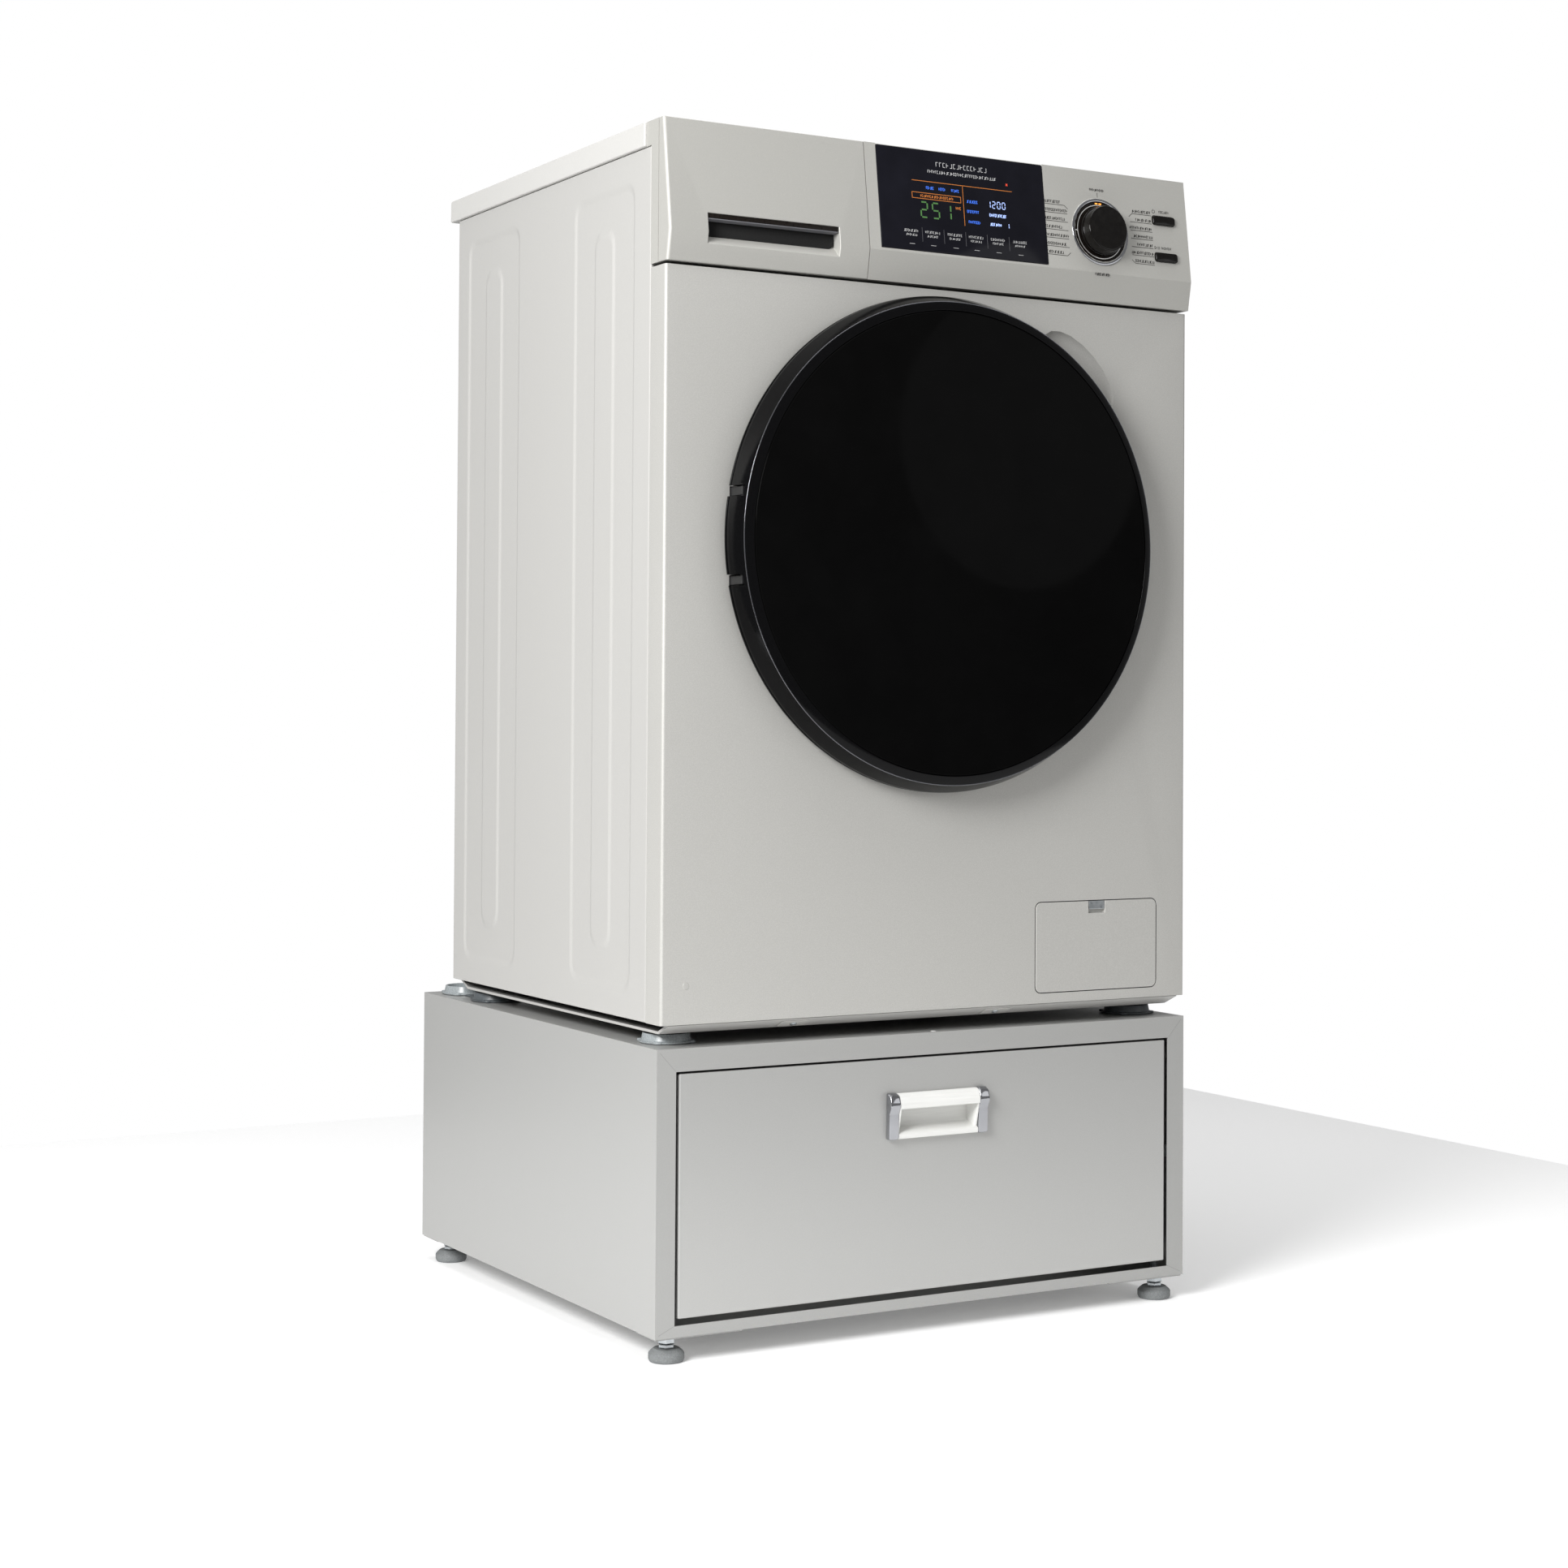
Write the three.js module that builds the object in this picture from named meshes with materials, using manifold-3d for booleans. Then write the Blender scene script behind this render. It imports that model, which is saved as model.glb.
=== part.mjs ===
// An all-in-one washer dryer standing in cups on a pedestal with a drawer.
// Millimetres, +Z up, +X to the right and the front of the machine facing -Y.
// Inside this file y = 0 is the front plane of the pedestal and z = 0 is the floor; the last lines
// move the origin to the middle of the footprint.
import * as THREE from 'three';
import { mergeVertices } from 'three/addons/utils/BufferGeometryUtils.js';
import Module from 'manifold-3d';

const wasm = await Module();
wasm.setup();

// ---- Driving dimensions -------------------------------------------------------------------

// Fits that every piece shares
const sheet = 1.5; // folded steel sheet
const gap = 0.4; // between two pieces that touch
const play = 0.6; // round a piece that moves
const over = 1; // how far a cutter passes the face it cuts

// Pedestal case
const caseWidth = 599.4;
const caseDepth = 556.5;
const caseHeight = 261.6;
const caseLift = 24.7; // floor to the bottom of the case
const frameSide = 19.7; // front frame, beside the drawer
const frameTop = 21.1;
const frameBottom = 10.3;
const floorFlange = 60; // inward flange round the open bottom
const cornerPlateLength = 91;
const cornerPlateWidth = 40;
const cornerPlateThickness = 1.5;

// Pedestal feet
const padRadius = 16.6;
const padHeight = 12;
const studRadius = 4.6;
const lockNutRadius = 8.4; // across the corners
const lockNutHeight = 6;
const padInset = 21.5; // pad centre from the side of the case
const padFrontInset = 19.5;
const padRearInset = 29.3;
const studReach = 16; // thread that stands inside the case
const nutRoom = 1.5; // lock nut above the pad

// Pedestal drawer
const drawerSideGap = 3.6;
const drawerTopGap = 2.2;
const drawerBottomGap = 5.8;
const drawerFrontThickness = 18.4;
const drawerFrontSetBack = 0.4;
const drawerBoxDepth = 480;
const drawerBoxHeight = 186;
const drawerBoxRise = 5; // box floor above the lower edge of the drawer front
const drawerBoxSideRoom = 8.2; // box side to the edge of the drawer front
const runnerHeight = 7;
const runnerRise = 98; // runner above the floor of the box
const railLip = 2; // height of the rail above and below the runner
const railTail = 5; // rail behind the box

// Drawer pull
const pullWidth = 112;
const pullHeight = 43;
const pullCentreX = 1;
const pullTopDrop = 32.5; // top of the pull below the top edge of the drawer front
const capWidth = 10.8;
const pocketDepth = 14.5;
const pocketFall = 5; // slope of the pocket's floor towards its mouth
const pullSkin = 1.6;
const hoodBulge = 9.2;
const hoodDrop = 14.5;
const pullLip = 5.5;
const capProud = 0.5; // cap outside the hood all round

// Washer cabinet
const cabinetInset = 1.9; // cabinet side inside the side of the pedestal
const cabinetFront = -2.4;
const cabinetDepth = 486.3;
const cabinetHeight = 806.1; // lower edge to the underside of the top cover
const cabinetLift = 21.5; // pedestal top to the lower edge of the cabinet
const frontWrap = 30; // return of the front panel round each side
const frontCorner = 3;
const coverThickness = 22.75;
const coverOverhang = 2.8;
const coverRearOverhang = 15;
const coverChamfer = 2;
const embossDepth = 3;
const embossWidth = 127;
const embossPlateauWidth = 40;
const embossBottom = 28; // recess above the lower edge of the cabinet
const embossTop = 31.5; // recess below the top of the cabinet
const embossPlateauInset = 36; // plateau above and below inside the recess
const embossFirst = 65.5; // front recess behind the front panel
const embossPitch = 262;
const embossCorner = 12;
const plateauCorner = 8;
const sideRim = 8; // edge of the side panel folded inwards

// Base, cups and feet of the washer
const lipSetBack = 20.4;
const lipDrop = 9.3;
const lipSideInset = 8.3;
const baseSheet = 2.5;
const baseRearRise = 20; // rear upstand of the base
const baseFrontRise = 6;
const cupRadius = 22;
const cupWall = 2;
const cupHeight = 9;
const cupFloor = 2;
const cupFlange = 6.2; // flange outside the cup wall
const cupFlangeThickness = 1.6;
const washerFootRadius = 18.4;
const washerFootHeight = 7.4;
const washerStudRadius = 5;
const washerStudRise = 18; // stud above the lower edge of the cabinet
const washerFootInset = 32.8; // foot centre from the side of the cabinet
const washerFootFront = 52.4; // foot centre behind the front of the cabinet
const washerFootRear = 39.9;
const spareCupPitch = 79; // empty rear cup behind the one in use
const cupBridgeShare = 0.6; // half width of the bridge between two cups, over the cup's radius

// Control panel
const panelHeight = 132.85;
const panelFoldHeight = 28.5; // fold above the lower edge
const panelTopY = 3.3;
const panelFoldY = -10.4;
const panelBottomY = -5.5;
const panelWall = 3;
const panelSideDepth = 27; // rear edge of the end walls
const panelTopDepth = 36.5; // rear edge of the top strip
const panelOverhang = 0.4; // end of the panel outside the cabinet side
const panelGap = 2.9; // panel above the front steel
const drawerSplit = 213.9; // width of the detergent drawer front
const drawerPlateBack = 12;

// Detergent drawer
const trayWall = 2;
const trayHeight = 70;
const trayLength = 236;
const trayRise = 26;
const housingWall = 2;
const grabWidth = 140;
const grabLeft = 40.7;
const grabBottom = 15.2;
const grabOpening = 31;
const grabBar = 11;
const grabBarThickness = 3.5;
const grabBackWall = 4;
const grabSlope = 20; // rise of the pocket's floor towards its back
const trayRearRoom = 90; // length of the rear compartment

// Display, dial and buttons, placed along X and up the sloping face
const lensRise = 31.4; // lower edge above the lower edge of the panel
const lensTopRoom = 0.6; // upper edge below the top of the panel
const lensThickness = 2;
const lensMargin = 12.8; // lens from the seam beside the detergent drawer
const lensRightInset = 176.7; // lens from the right end of the panel
const lensProud = 0.3;
const dialInset = 110.9; // dial's centre from the right end of the panel
const dialCentreUp = 70.7; // above the lower edge of the panel
const dialRadius = 25.2;
const dialTopRadius = 23.2;
const dialHeight = 15;
const dialStemRadius = 6;
const dialStemLength = 9;
const bezelRadius = 34.3;
const bezelWidth = 3;
const bezelHeight = 1.2;
const buttonWidth = 27.4;
const buttonHeight = 9.4;
const buttonCorner = 2.8;
const buttonProud = 2.5;
const buttonBody = 6;
const buttonInset = 30.2; // buttons' centre from the right end of the panel
const powerUp = 89.6;
const startUp = 51.3;
const boardY = 22; // circuit board behind the face
const boardThickness = 2;
const moduleDepth = 10; // display module and encoder in front of the board
const moduleInset = 16.5; // display module inside the ends of the lens

// Door
const doorRadius = 238.5;
const doorFlare = 7.5; // shoulder inside the rim of the door
const doorBevel = 9; // glass inside the shoulder
const doorFront = -36;
const doorShoulder = -32;
const doorWaist = -14;
const doorBack = -8;
const doorRise = 446.8; // middle of the door above the lower edge of the cabinet
const doorSkin = 2.5;
const shoulderWall = 1.5;
const coverGlassThickness = 4;
const glassLedge = 8;
const frameOuterRadius = 233;
const framePlate = 2.7;
const frameWall = 3;
const frameWallInset = 6; // frame's wall inside the shoulder of the ring
const frameHoleRadius = 152;
const bowlPortGap = 20; // bowl's mouth inside the port
const bowlTaper = 32; // nose inside the mouth
const bowlDepth = 96;
const bowlWall = 5;
const bowlFlange = 18;
const bowlCorner = 22; // rounding of the nose
const portInset = 68.5; // hole in the front steel inside the rim of the door
const hingeInset = 8.95; // hinge pin from the rim of the door, level with the ends of the pin
const hingeY = -22;
const hingePinRadius = 2.5;
const hingeArmWidth = 6;
const hingeArmHeight = 8;
const hingeArmRise = 41; // arm above and below the middle of the door
const hingeSlotRoom = 1;
const hingePlateRise = 10; // plate above and below the arms
const knuckleRoom = 4; // knuckle to each arm
const hookInset = 43.5; // inside the rim of the door
const hookWidth = 8;
const hookHeight = 12;
const hookReach = 14; // behind the front steel
const hookSwing = 7; // slot beyond the hook on the side it moves to
const scoopAngle = 47; // finger scoop beside the door, degrees above the horizontal
const scoopLength = 55;
const scoopReach = 28;
const scoopDepth = 11;

// Tub, drum and drive
const tubRadius = 262;
const tubWall = 4;
const tubFlange = 6;
const tubFlangeWidth = 8;
const tubFront = 50;
const tubSplit = 210;
const tubBack = 402;
const tubMouthRadius = 165;
const drumRadius = 244;
const drumSheet = 2;
const drumFront = 66;
const drumBack = 378;
const drumMouthRadius = 160;
const drumCorner = 9;
const lifterHeight = 44;
const lifterWidth = 52;
const lifterCrest = 26;
const lifterInset = 24; // lifter behind the front of the drum
const spiderWidth = 40;
const spiderThickness = 8;
const shaftRadius = 17;
const hubRadius = 42;
const hubLength = 29;
const pulleyRadius = 140;
const pulleyWidth = 16;
const pulleyY = 427;
const pulleyWeb = 5;
const beltThickness = 3.5;
const beltWidth = 13;
const motorRadius = 60;
const motorLength = 110;
const motorPulleyRadius = 12;
const motorAngle = -70; // motor round the tub, degrees
const motorStandOff = 6;
const motorShaftRadius = 8;
const motorShaftLength = 48; // shaft inside the can
const motorFootHalf = 34;
const weightInnerRadius = 185;
const weightOuterRadius = 240;
const weightThickness = 35;

// Suspension, water and air
const springX = 190;
const springY = 320;
const springRadius = 13;
const springWire = 1.8;
const springCoils = 7;
const springTopDrop = 28;
const hangerHalf = 8;
const springLugRise = 14; // lower end of the spring above the tub
const damperTopX = 178;
const damperSpread = 58; // lower end outside the upper one
const damperTopDrop = 12; // upper end below the tub
const damperBottomRise = 8; // lower end above the base
const damperY = 240;
const damperRadius = 11;
const damperRodRadius = 5;
const ductWidth = 190;
const ductHeight = 62;
const ductLength = 290;
const ductInset = 22; // duct from the side of the cabinet
const ductSetBack = 30; // duct behind the panel's top strip
const fanRadius = 78;
const filterRadius = 31;
const filterRoom = 1.2; // round the filter, which turns in its chamber
const filterLength = 70;
const filterKnobDepth = 9;
const filterFlange = 4; // cap outside the basket
const filterGripHalf = 22;
const chamberWall = 5;
const pumpMotorRadius = 28;
const pumpMotorLength = 50;
const inletRadius = 13;
const inletPitch = 46;
const inletReach = 12;
const inletInset = 62.8; // middle of the inlets from the side of the cabinet
const inletDrop = 70;
const valveDepth = 42;

// What the rear panel carries
const serviceHalf = 200; // pressed cover over the pulley
const serviceDrop = 215; // below the middle of the drum
const serviceRise = 190;
const serviceCorner = 40;
const serviceProud = 4;
const spigotRadius = 14;
const spigotWall = 4;
const spigotInset = 70; // from the side of the cabinet
const spigotRise = 130; // above its lower edge
const spigotReach = 12;
const cordBossRadius = 11;
const cordRadius = 4.5;
const cordInset = 60;
const cordRise = 90;
const cordBossReach = 8;

// Filter flap
const flapWidth = 149;
const flapHeight = 90;
const flapCorner = 7;
const flapThickness = 5.8;
const flapProud = 0.5;
const flapRise = 9.7; // opening above the lower edge of the cabinet
const flapEdge = 34.9; // opening from the right side of the cabinet
const flapGap = 0.8;
const flapWall = 6; // border left round the hollow behind
const flapSkin = 2;
const latchWidth = 18.6;
const latchHeight = 8.2;
const latchTravel = 3;
const latchThickness = 3;
const latchRoom = 8; // solid part of the flap below the latch's slot

// ---- Places worked out from them ----------------------------------------------------------

const halfCase = caseWidth / 2;
const caseTop = caseLift + caseHeight;
const openingHalf = halfCase - frameSide;
const openingLow = caseLift + frameBottom;
const openingHigh = caseTop - frameTop;

const halfCabinet = halfCase - cabinetInset;
const cabinetLow = caseTop + cabinetLift;
const cabinetHigh = cabinetLow + cabinetHeight;
const cabinetBack = cabinetFront + cabinetDepth;
const machineTop = cabinetHigh + coverThickness;
const panelLow = machineTop - panelHeight;
const frontTop = panelLow - panelGap;
const panelHalf = halfCabinet + panelOverhang;
const doorZ = cabinetLow + doorRise;
const innerFront = cabinetFront + sheet;

// The control panel's main face leans back. These are its foot, its way up and its outward normal.
const faceLow = new THREE.Vector3(0, panelFoldY, panelLow + panelFoldHeight);
const faceUp = new THREE.Vector3(0, panelTopY - panelFoldY, panelHeight - panelFoldHeight).normalize();
const faceOut = new THREE.Vector3(0, -faceUp.z, faceUp.y);

// Pedestal drawer and pull
const drawerHalf = openingHalf - drawerSideGap;
const drawerLow = openingLow + drawerBottomGap;
const drawerHigh = openingHigh - drawerTopGap;
const drawerRear = drawerFrontSetBack + drawerFrontThickness;
const boxHalf = drawerHalf - drawerBoxSideRoom;
const boxLow = drawerLow + drawerBoxRise;
const boxFront = drawerRear + gap;
const boxBack = boxFront + drawerBoxDepth;
const runnerLow = boxLow + runnerRise;
const runnerReach = openingHalf - play; // the runner still clears the front opening
const pullHigh = drawerHigh - pullTopDrop;
const pullLow = pullHigh - pullHeight;
const pullLeft = pullCentreX - pullWidth / 2 + capWidth;
const pullRight = pullCentreX + pullWidth / 2 - capWidth;

// Cups, feet and base
const footX = halfCabinet - washerFootInset;
const footFrontY = cabinetFront + washerFootFront;
const footRearY = cabinetBack - washerFootRear;
const cupLow = caseTop + gap;
const baseLow = cabinetLow - gap - lipDrop;

// Rear panel and water inlets
const inletX = inletInset - halfCabinet;
const inletZ = cabinetHigh - inletDrop;
const inletPlaces = [inletX - inletPitch / 2, inletX + inletPitch / 2];

// Filter flap, filter and pump
const flapLeft = halfCabinet - flapEdge - flapWidth;
const flapRight = halfCabinet - flapEdge;
const flapLow = cabinetLow + flapRise;
const flapHigh = flapLow + flapHeight;
const filterX = (flapLeft + flapRight) / 2;
const filterZ = (flapLow + flapHigh) / 2;
const filterFront = innerFront + flapThickness + 3;
const chamberFront = filterFront + filterKnobDepth + 1;

// Control panel
const panelLeft = -panelHalf;
const splitX = panelLeft + drawerSplit;
const lensWidth = panelHalf - lensRightInset - splitX - lensMargin;
const lensX = splitX + lensMargin + lensWidth / 2;
const lensLength = (panelHeight - lensTopRoom - lensRise) / faceUp.z; // along the leaning face
const dialX = panelHalf - dialInset;
const buttonX = panelHalf - buttonInset;

// Detergent tray and its housing
const housingLeft = -halfCabinet + embossDepth + sheet + gap;
const housingRight = splitX - 2;
const trayLow = panelLow + trayRise;
const housingLow = trayLow - housingWall - play;
const housingHigh = trayLow + trayHeight + play + housingWall;
const trayLeft = housingLeft + housingWall + play;
const trayRight = housingRight - housingWall - play;

// Door and finger scoop
const doorCentre = [0, 0, doorZ];
const doorShoulderRadius = doorRadius - doorFlare;
const glassRadius = doorShoulderRadius - doorBevel;
const portRadius = doorRadius - portInset;
const bowlMouthRadius = portRadius - bowlPortGap;
const bowlNoseRadius = bowlMouthRadius - bowlTaper;
const hingeX = hingeInset - Math.sqrt(doorRadius ** 2 - hingeArmRise ** 2);
const hookX = doorRadius - hookInset;
const scoopRadians = THREE.MathUtils.degToRad(scoopAngle);
const scoopX = doorRadius * Math.cos(scoopRadians);
const scoopZ = doorZ + doorRadius * Math.sin(scoopRadians);

// Drive and suspension
const motorRadians = THREE.MathUtils.degToRad(motorAngle);
const motorDistance = tubRadius + tubFlange + motorStandOff + motorRadius;
const motorX = motorDistance * Math.cos(motorRadians);
const motorZ = doorZ + motorDistance * Math.sin(motorRadians);
const motorCentre = [motorX, 0, motorZ];
const onTub = (x) => Math.sqrt(tubRadius ** 2 - x ** 2); // height of the tub's wall above its axis
const springLow = doorZ + onTub(springX) + springLugRise;
const springHigh = cabinetHigh - springTopDrop - gap;
const damperTopZ = doorZ - onTub(damperTopX) - damperTopDrop;
const damperBottomX = damperTopX + damperSpread;
const damperBottomZ = baseLow + baseSheet + damperBottomRise;

// ---- Solids -------------------------------------------------------------------------------

const doorSteps = 48; // facets round the door
const arcSteps = 32; // round the tub, the drum and other large circles
const dialSteps = 24;
const turnSteps = 16; // round pins, cups and what turns
const smallSteps = 12;

function toSolid(geometry) {
  const bare = geometry.clone();
  bare.deleteAttribute('normal');
  bare.deleteAttribute('uv');
  const merged = mergeVertices(bare, 1e-3);
  const build = (triVerts) => new wasm.Manifold(
    new wasm.Mesh({ numProp: 3, vertProperties: merged.attributes.position.array, triVerts }),
  );
  const made = build(new Uint32Array(merged.index.array));
  if (made.volume() > 0) return made;
  return build(new Uint32Array(merged.index.array).reverse());
}

function toGeometry(solid) {
  const { vertProperties, triVerts, numProp } = solid.getMesh();
  const geometry = new THREE.BufferGeometry();
  const points = new Float32Array((vertProperties.length / numProp) * 3);
  for (let i = 0; i < points.length / 3; i += 1) {
    points.set(vertProperties.subarray(i * numProp, i * numProp + 3), i * 3);
  }
  geometry.setAttribute('position', new THREE.BufferAttribute(points, 3));
  geometry.setIndex(new THREE.BufferAttribute(new Uint32Array(triVerts), 1));
  geometry.computeVertexNormals();
  return geometry;
}

const join = (first, ...rest) => rest.reduce((sum, piece) => sum.add(piece), first);
const cut = (first, ...rest) => rest.reduce((left, piece) => left.subtract(piece), first);

// A block between two limits on each axis.
function block([x0, x1], [y0, y1], [z0, z1]) {
  const geometry = new THREE.BoxGeometry(Math.abs(x1 - x0), y1 - y0, z1 - z0);
  geometry.translate((x0 + x1) / 2, (y0 + y1) / 2, (z0 + z1) / 2);
  return toSolid(geometry);
}

// A profile of [radius, place along the axis] turned about an axis through centre.
const turnToAxis = {
  x: new THREE.Matrix4().makeRotationZ(-Math.PI / 2),
  y: new THREE.Matrix4(),
  z: new THREE.Matrix4().makeRotationX(Math.PI / 2),
};

function turned(axis, profile, centre = [0, 0, 0], steps = smallSteps) {
  const points = profile.map(([radius, along]) => new THREE.Vector2(radius, along));
  const geometry = new THREE.LatheGeometry(points, steps);
  geometry.applyMatrix4(turnToAxis[axis]);
  geometry.translate(...centre);
  return toSolid(geometry);
}

// A closed ring profile ends where it starts.
const closed = (profile) => [...profile, profile[0]];

function rod(axis, radius, [from, to], centre, steps = smallSteps) {
  return turned(axis, [[0, from], [radius, from], [radius, to], [0, to]], centre, steps);
}

// An outline extruded along an axis. The outline is (y, z) along x, (x, z) along y, (x, y) along z.
const axes = {
  X: new THREE.Vector3(1, 0, 0),
  Y: new THREE.Vector3(0, 1, 0),
  Z: new THREE.Vector3(0, 0, 1),
};
const turnOutline = {
  x: new THREE.Matrix4().makeBasis(axes.Y, axes.Z, axes.X),
  y: new THREE.Matrix4().makeBasis(axes.X, axes.Z, axes.Y.clone().negate()),
  z: new THREE.Matrix4(),
};

function extruded(axis, outline, [from, to], curveSegments = 4) {
  const shape = outline instanceof THREE.Shape ? outline : polygon(outline);
  const geometry = new THREE.ExtrudeGeometry(shape, { depth: to - from, bevelEnabled: false, curveSegments });
  geometry.applyMatrix4(turnOutline[axis]);
  const start = axis === 'y' ? to : from;
  geometry.translate(axis === 'x' ? start : 0, axis === 'y' ? start : 0, axis === 'z' ? start : 0);
  return toSolid(geometry);
}

function polygon(points) {
  return new THREE.Shape(points.map(([u, v]) => new THREE.Vector2(u, v)));
}

function roundedRectangle([u0, u1], [v0, v1], radius) {
  const shape = new THREE.Shape();
  shape.absarc(u1 - radius, v1 - radius, radius, 0, Math.PI / 2);
  shape.absarc(u0 + radius, v1 - radius, radius, Math.PI / 2, Math.PI);
  shape.absarc(u0 + radius, v0 + radius, radius, Math.PI, 1.5 * Math.PI);
  shape.absarc(u1 - radius, v0 + radius, radius, 1.5 * Math.PI, 2 * Math.PI);
  return shape;
}

// Carries a solid made about the origin, with its own +Z outwards, onto the control panel's face.
function onFace(solid, x, up) {
  const side = axes.X;
  const place = faceLow.clone().addScaledVector(faceUp, (up - panelFoldHeight) / faceUp.z).setX(x);
  const matrix = new THREE.Matrix4().makeBasis(side, faceUp, faceOut).setPosition(place);
  const geometry = toGeometry(solid);
  geometry.applyMatrix4(matrix);
  return toSolid(geometry);
}

// ---- Materials and the assembly -----------------------------------------------------------

function finish(color, roughness, metalness) {
  return new THREE.MeshStandardMaterial({ color, roughness, metalness });
}

const finishes = {
  frontSteel: finish(0xb5b4ae, 0.45, 0.35),
  sideSteel: finish(0xcfceca, 0.5, 0.1),
  panelPlastic: finish(0xb9b8b3, 0.5, 0.1),
  blackGloss: finish(0x0b0b0c, 0.08, 0),
  blackPlastic: finish(0x1b1b1d, 0.4, 0),
  chrome: finish(0xd8d8da, 0.08, 1),
  satinAluminium: finish(0xd2d2d0, 0.3, 1),
  zinc: finish(0xc4c6c8, 0.3, 1),
  stainless: finish(0xc9cacb, 0.25, 1),
  glass: finish(0x9aa4a6, 0.05, 0),
  greyRubber: finish(0x8d8f8e, 0.8, 0),
  darkRubber: finish(0x2b2c2d, 0.8, 0),
  gasketRubber: finish(0x8a8c8d, 0.7, 0),
  tubPlastic: finish(0xdcdcd6, 0.6, 0),
  greyPlastic: finish(0x55585c, 0.5, 0),
  castIron: finish(0x6b6b6b, 0.7, 0.4),
  circuitBoard: finish(0x2f6b3a, 0.6, 0),
};

const assembly = new THREE.Group();

function piece(name, material, solid) {
  const mesh = new THREE.Mesh(toGeometry(solid), finishes[material]);
  mesh.name = name;
  assembly.add(mesh);
}

const sides = [['left', -1], ['right', 1]];
const widened = ([from, to], grow) => [from - grow, to + grow];

// ---- Pedestal -----------------------------------------------------------------------------

// A welded steel case with a framed front opening, an open bottom with an inward flange, and a
// plate under each corner that the foot screws into.
function pedestalShell() {
  const outside = block([-halfCase, halfCase], [0, caseDepth], [caseLift, caseTop]);
  const inside = block(
    [-halfCase + sheet, halfCase - sheet],
    [sheet, caseDepth - sheet],
    [caseLift + sheet, caseTop - sheet],
  );
  const mouth = block([-openingHalf, openingHalf], [-over, sheet + over], [openingLow, openingHigh]);
  const bottom = block(
    [-halfCase + floorFlange, halfCase - floorFlange],
    [floorFlange, caseDepth - floorFlange],
    [caseLift - over, caseLift + sheet + over],
  );
  let shell = cut(outside, inside, mouth, bottom);
  for (const [, side] of sides) {
    for (const y of [padFrontInset, caseDepth - padRearInset]) {
      const x0 = side * (halfCase - sheet);
      const x1 = side * (halfCase - cornerPlateLength);
      const nearFront = y < caseDepth / 2;
      const yRange = nearFront
        ? [sheet, cornerPlateWidth]
        : [caseDepth - cornerPlateWidth, caseDepth - sheet];
      const plate = block([x0, x1], yRange, [caseLift - cornerPlateThickness, caseLift + sheet / 2]);
      const hole = rod('z', studRadius + play, [0, caseTop / 2], [side * (halfCase - padInset), y, 0]);
      shell = cut(join(shell, plate), hole);
    }
  }
  piece('pedestal_shell', 'sideSteel', shell);
}

// Rubber pad, lock nut and threaded stud, turned as one levelling foot.
function pedestalFoot(name, x, y) {
  const nutLow = padHeight + nutRoom;
  const pad = turned('z', [
    [0, 0], [padRadius - 2, 0], [padRadius, 2.5], [padRadius, padHeight - 4.5],
    [studRadius + 3, padHeight], [0, padHeight],
  ], [x, y, 0]);
  const stud = rod('z', studRadius, [padHeight - over, caseLift + studReach], [x, y, 0], 10);
  const nut = rod('z', lockNutRadius, [nutLow, nutLow + lockNutHeight], [x, y, 0], 6);
  piece(name, 'greyRubber', join(pad, stud, nut));
}

function pedestalFeet() {
  for (const [word, side] of sides) {
    const x = side * (halfCase - padInset);
    pedestalFoot(`pedestal_foot_front_${word}`, x, padFrontInset);
    pedestalFoot(`pedestal_foot_rear_${word}`, x, caseDepth - padRearInset);
  }
}

function pedestalDrawer() {
  const box = cut(
    block([-boxHalf, boxHalf], [boxFront, boxBack], [boxLow, boxLow + drawerBoxHeight]),
    block(
      [-boxHalf + sheet, boxHalf - sheet],
      [boxFront + sheet, boxBack - sheet],
      [boxLow + sheet, boxLow + drawerBoxHeight + over],
    ),
  );
  const runners = sides.map(([, side]) => block(
    [side * (boxHalf - sheet / 2), side * runnerReach],
    [boxFront, boxBack],
    [runnerLow, runnerLow + runnerHeight],
  ));
  piece('drawer_box', 'sideSteel', join(box, ...runners));

  const window = block(
    [pullLeft - gap, pullRight + gap],
    [-over, drawerRear + over],
    [pullLow + pullSkin + gap, pullHigh - pullSkin],
  );
  const front = block([-drawerHalf, drawerHalf], [drawerFrontSetBack, drawerRear], [drawerLow, drawerHigh]);
  piece('drawer_front', 'frontSteel', cut(front, window));
}

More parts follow.
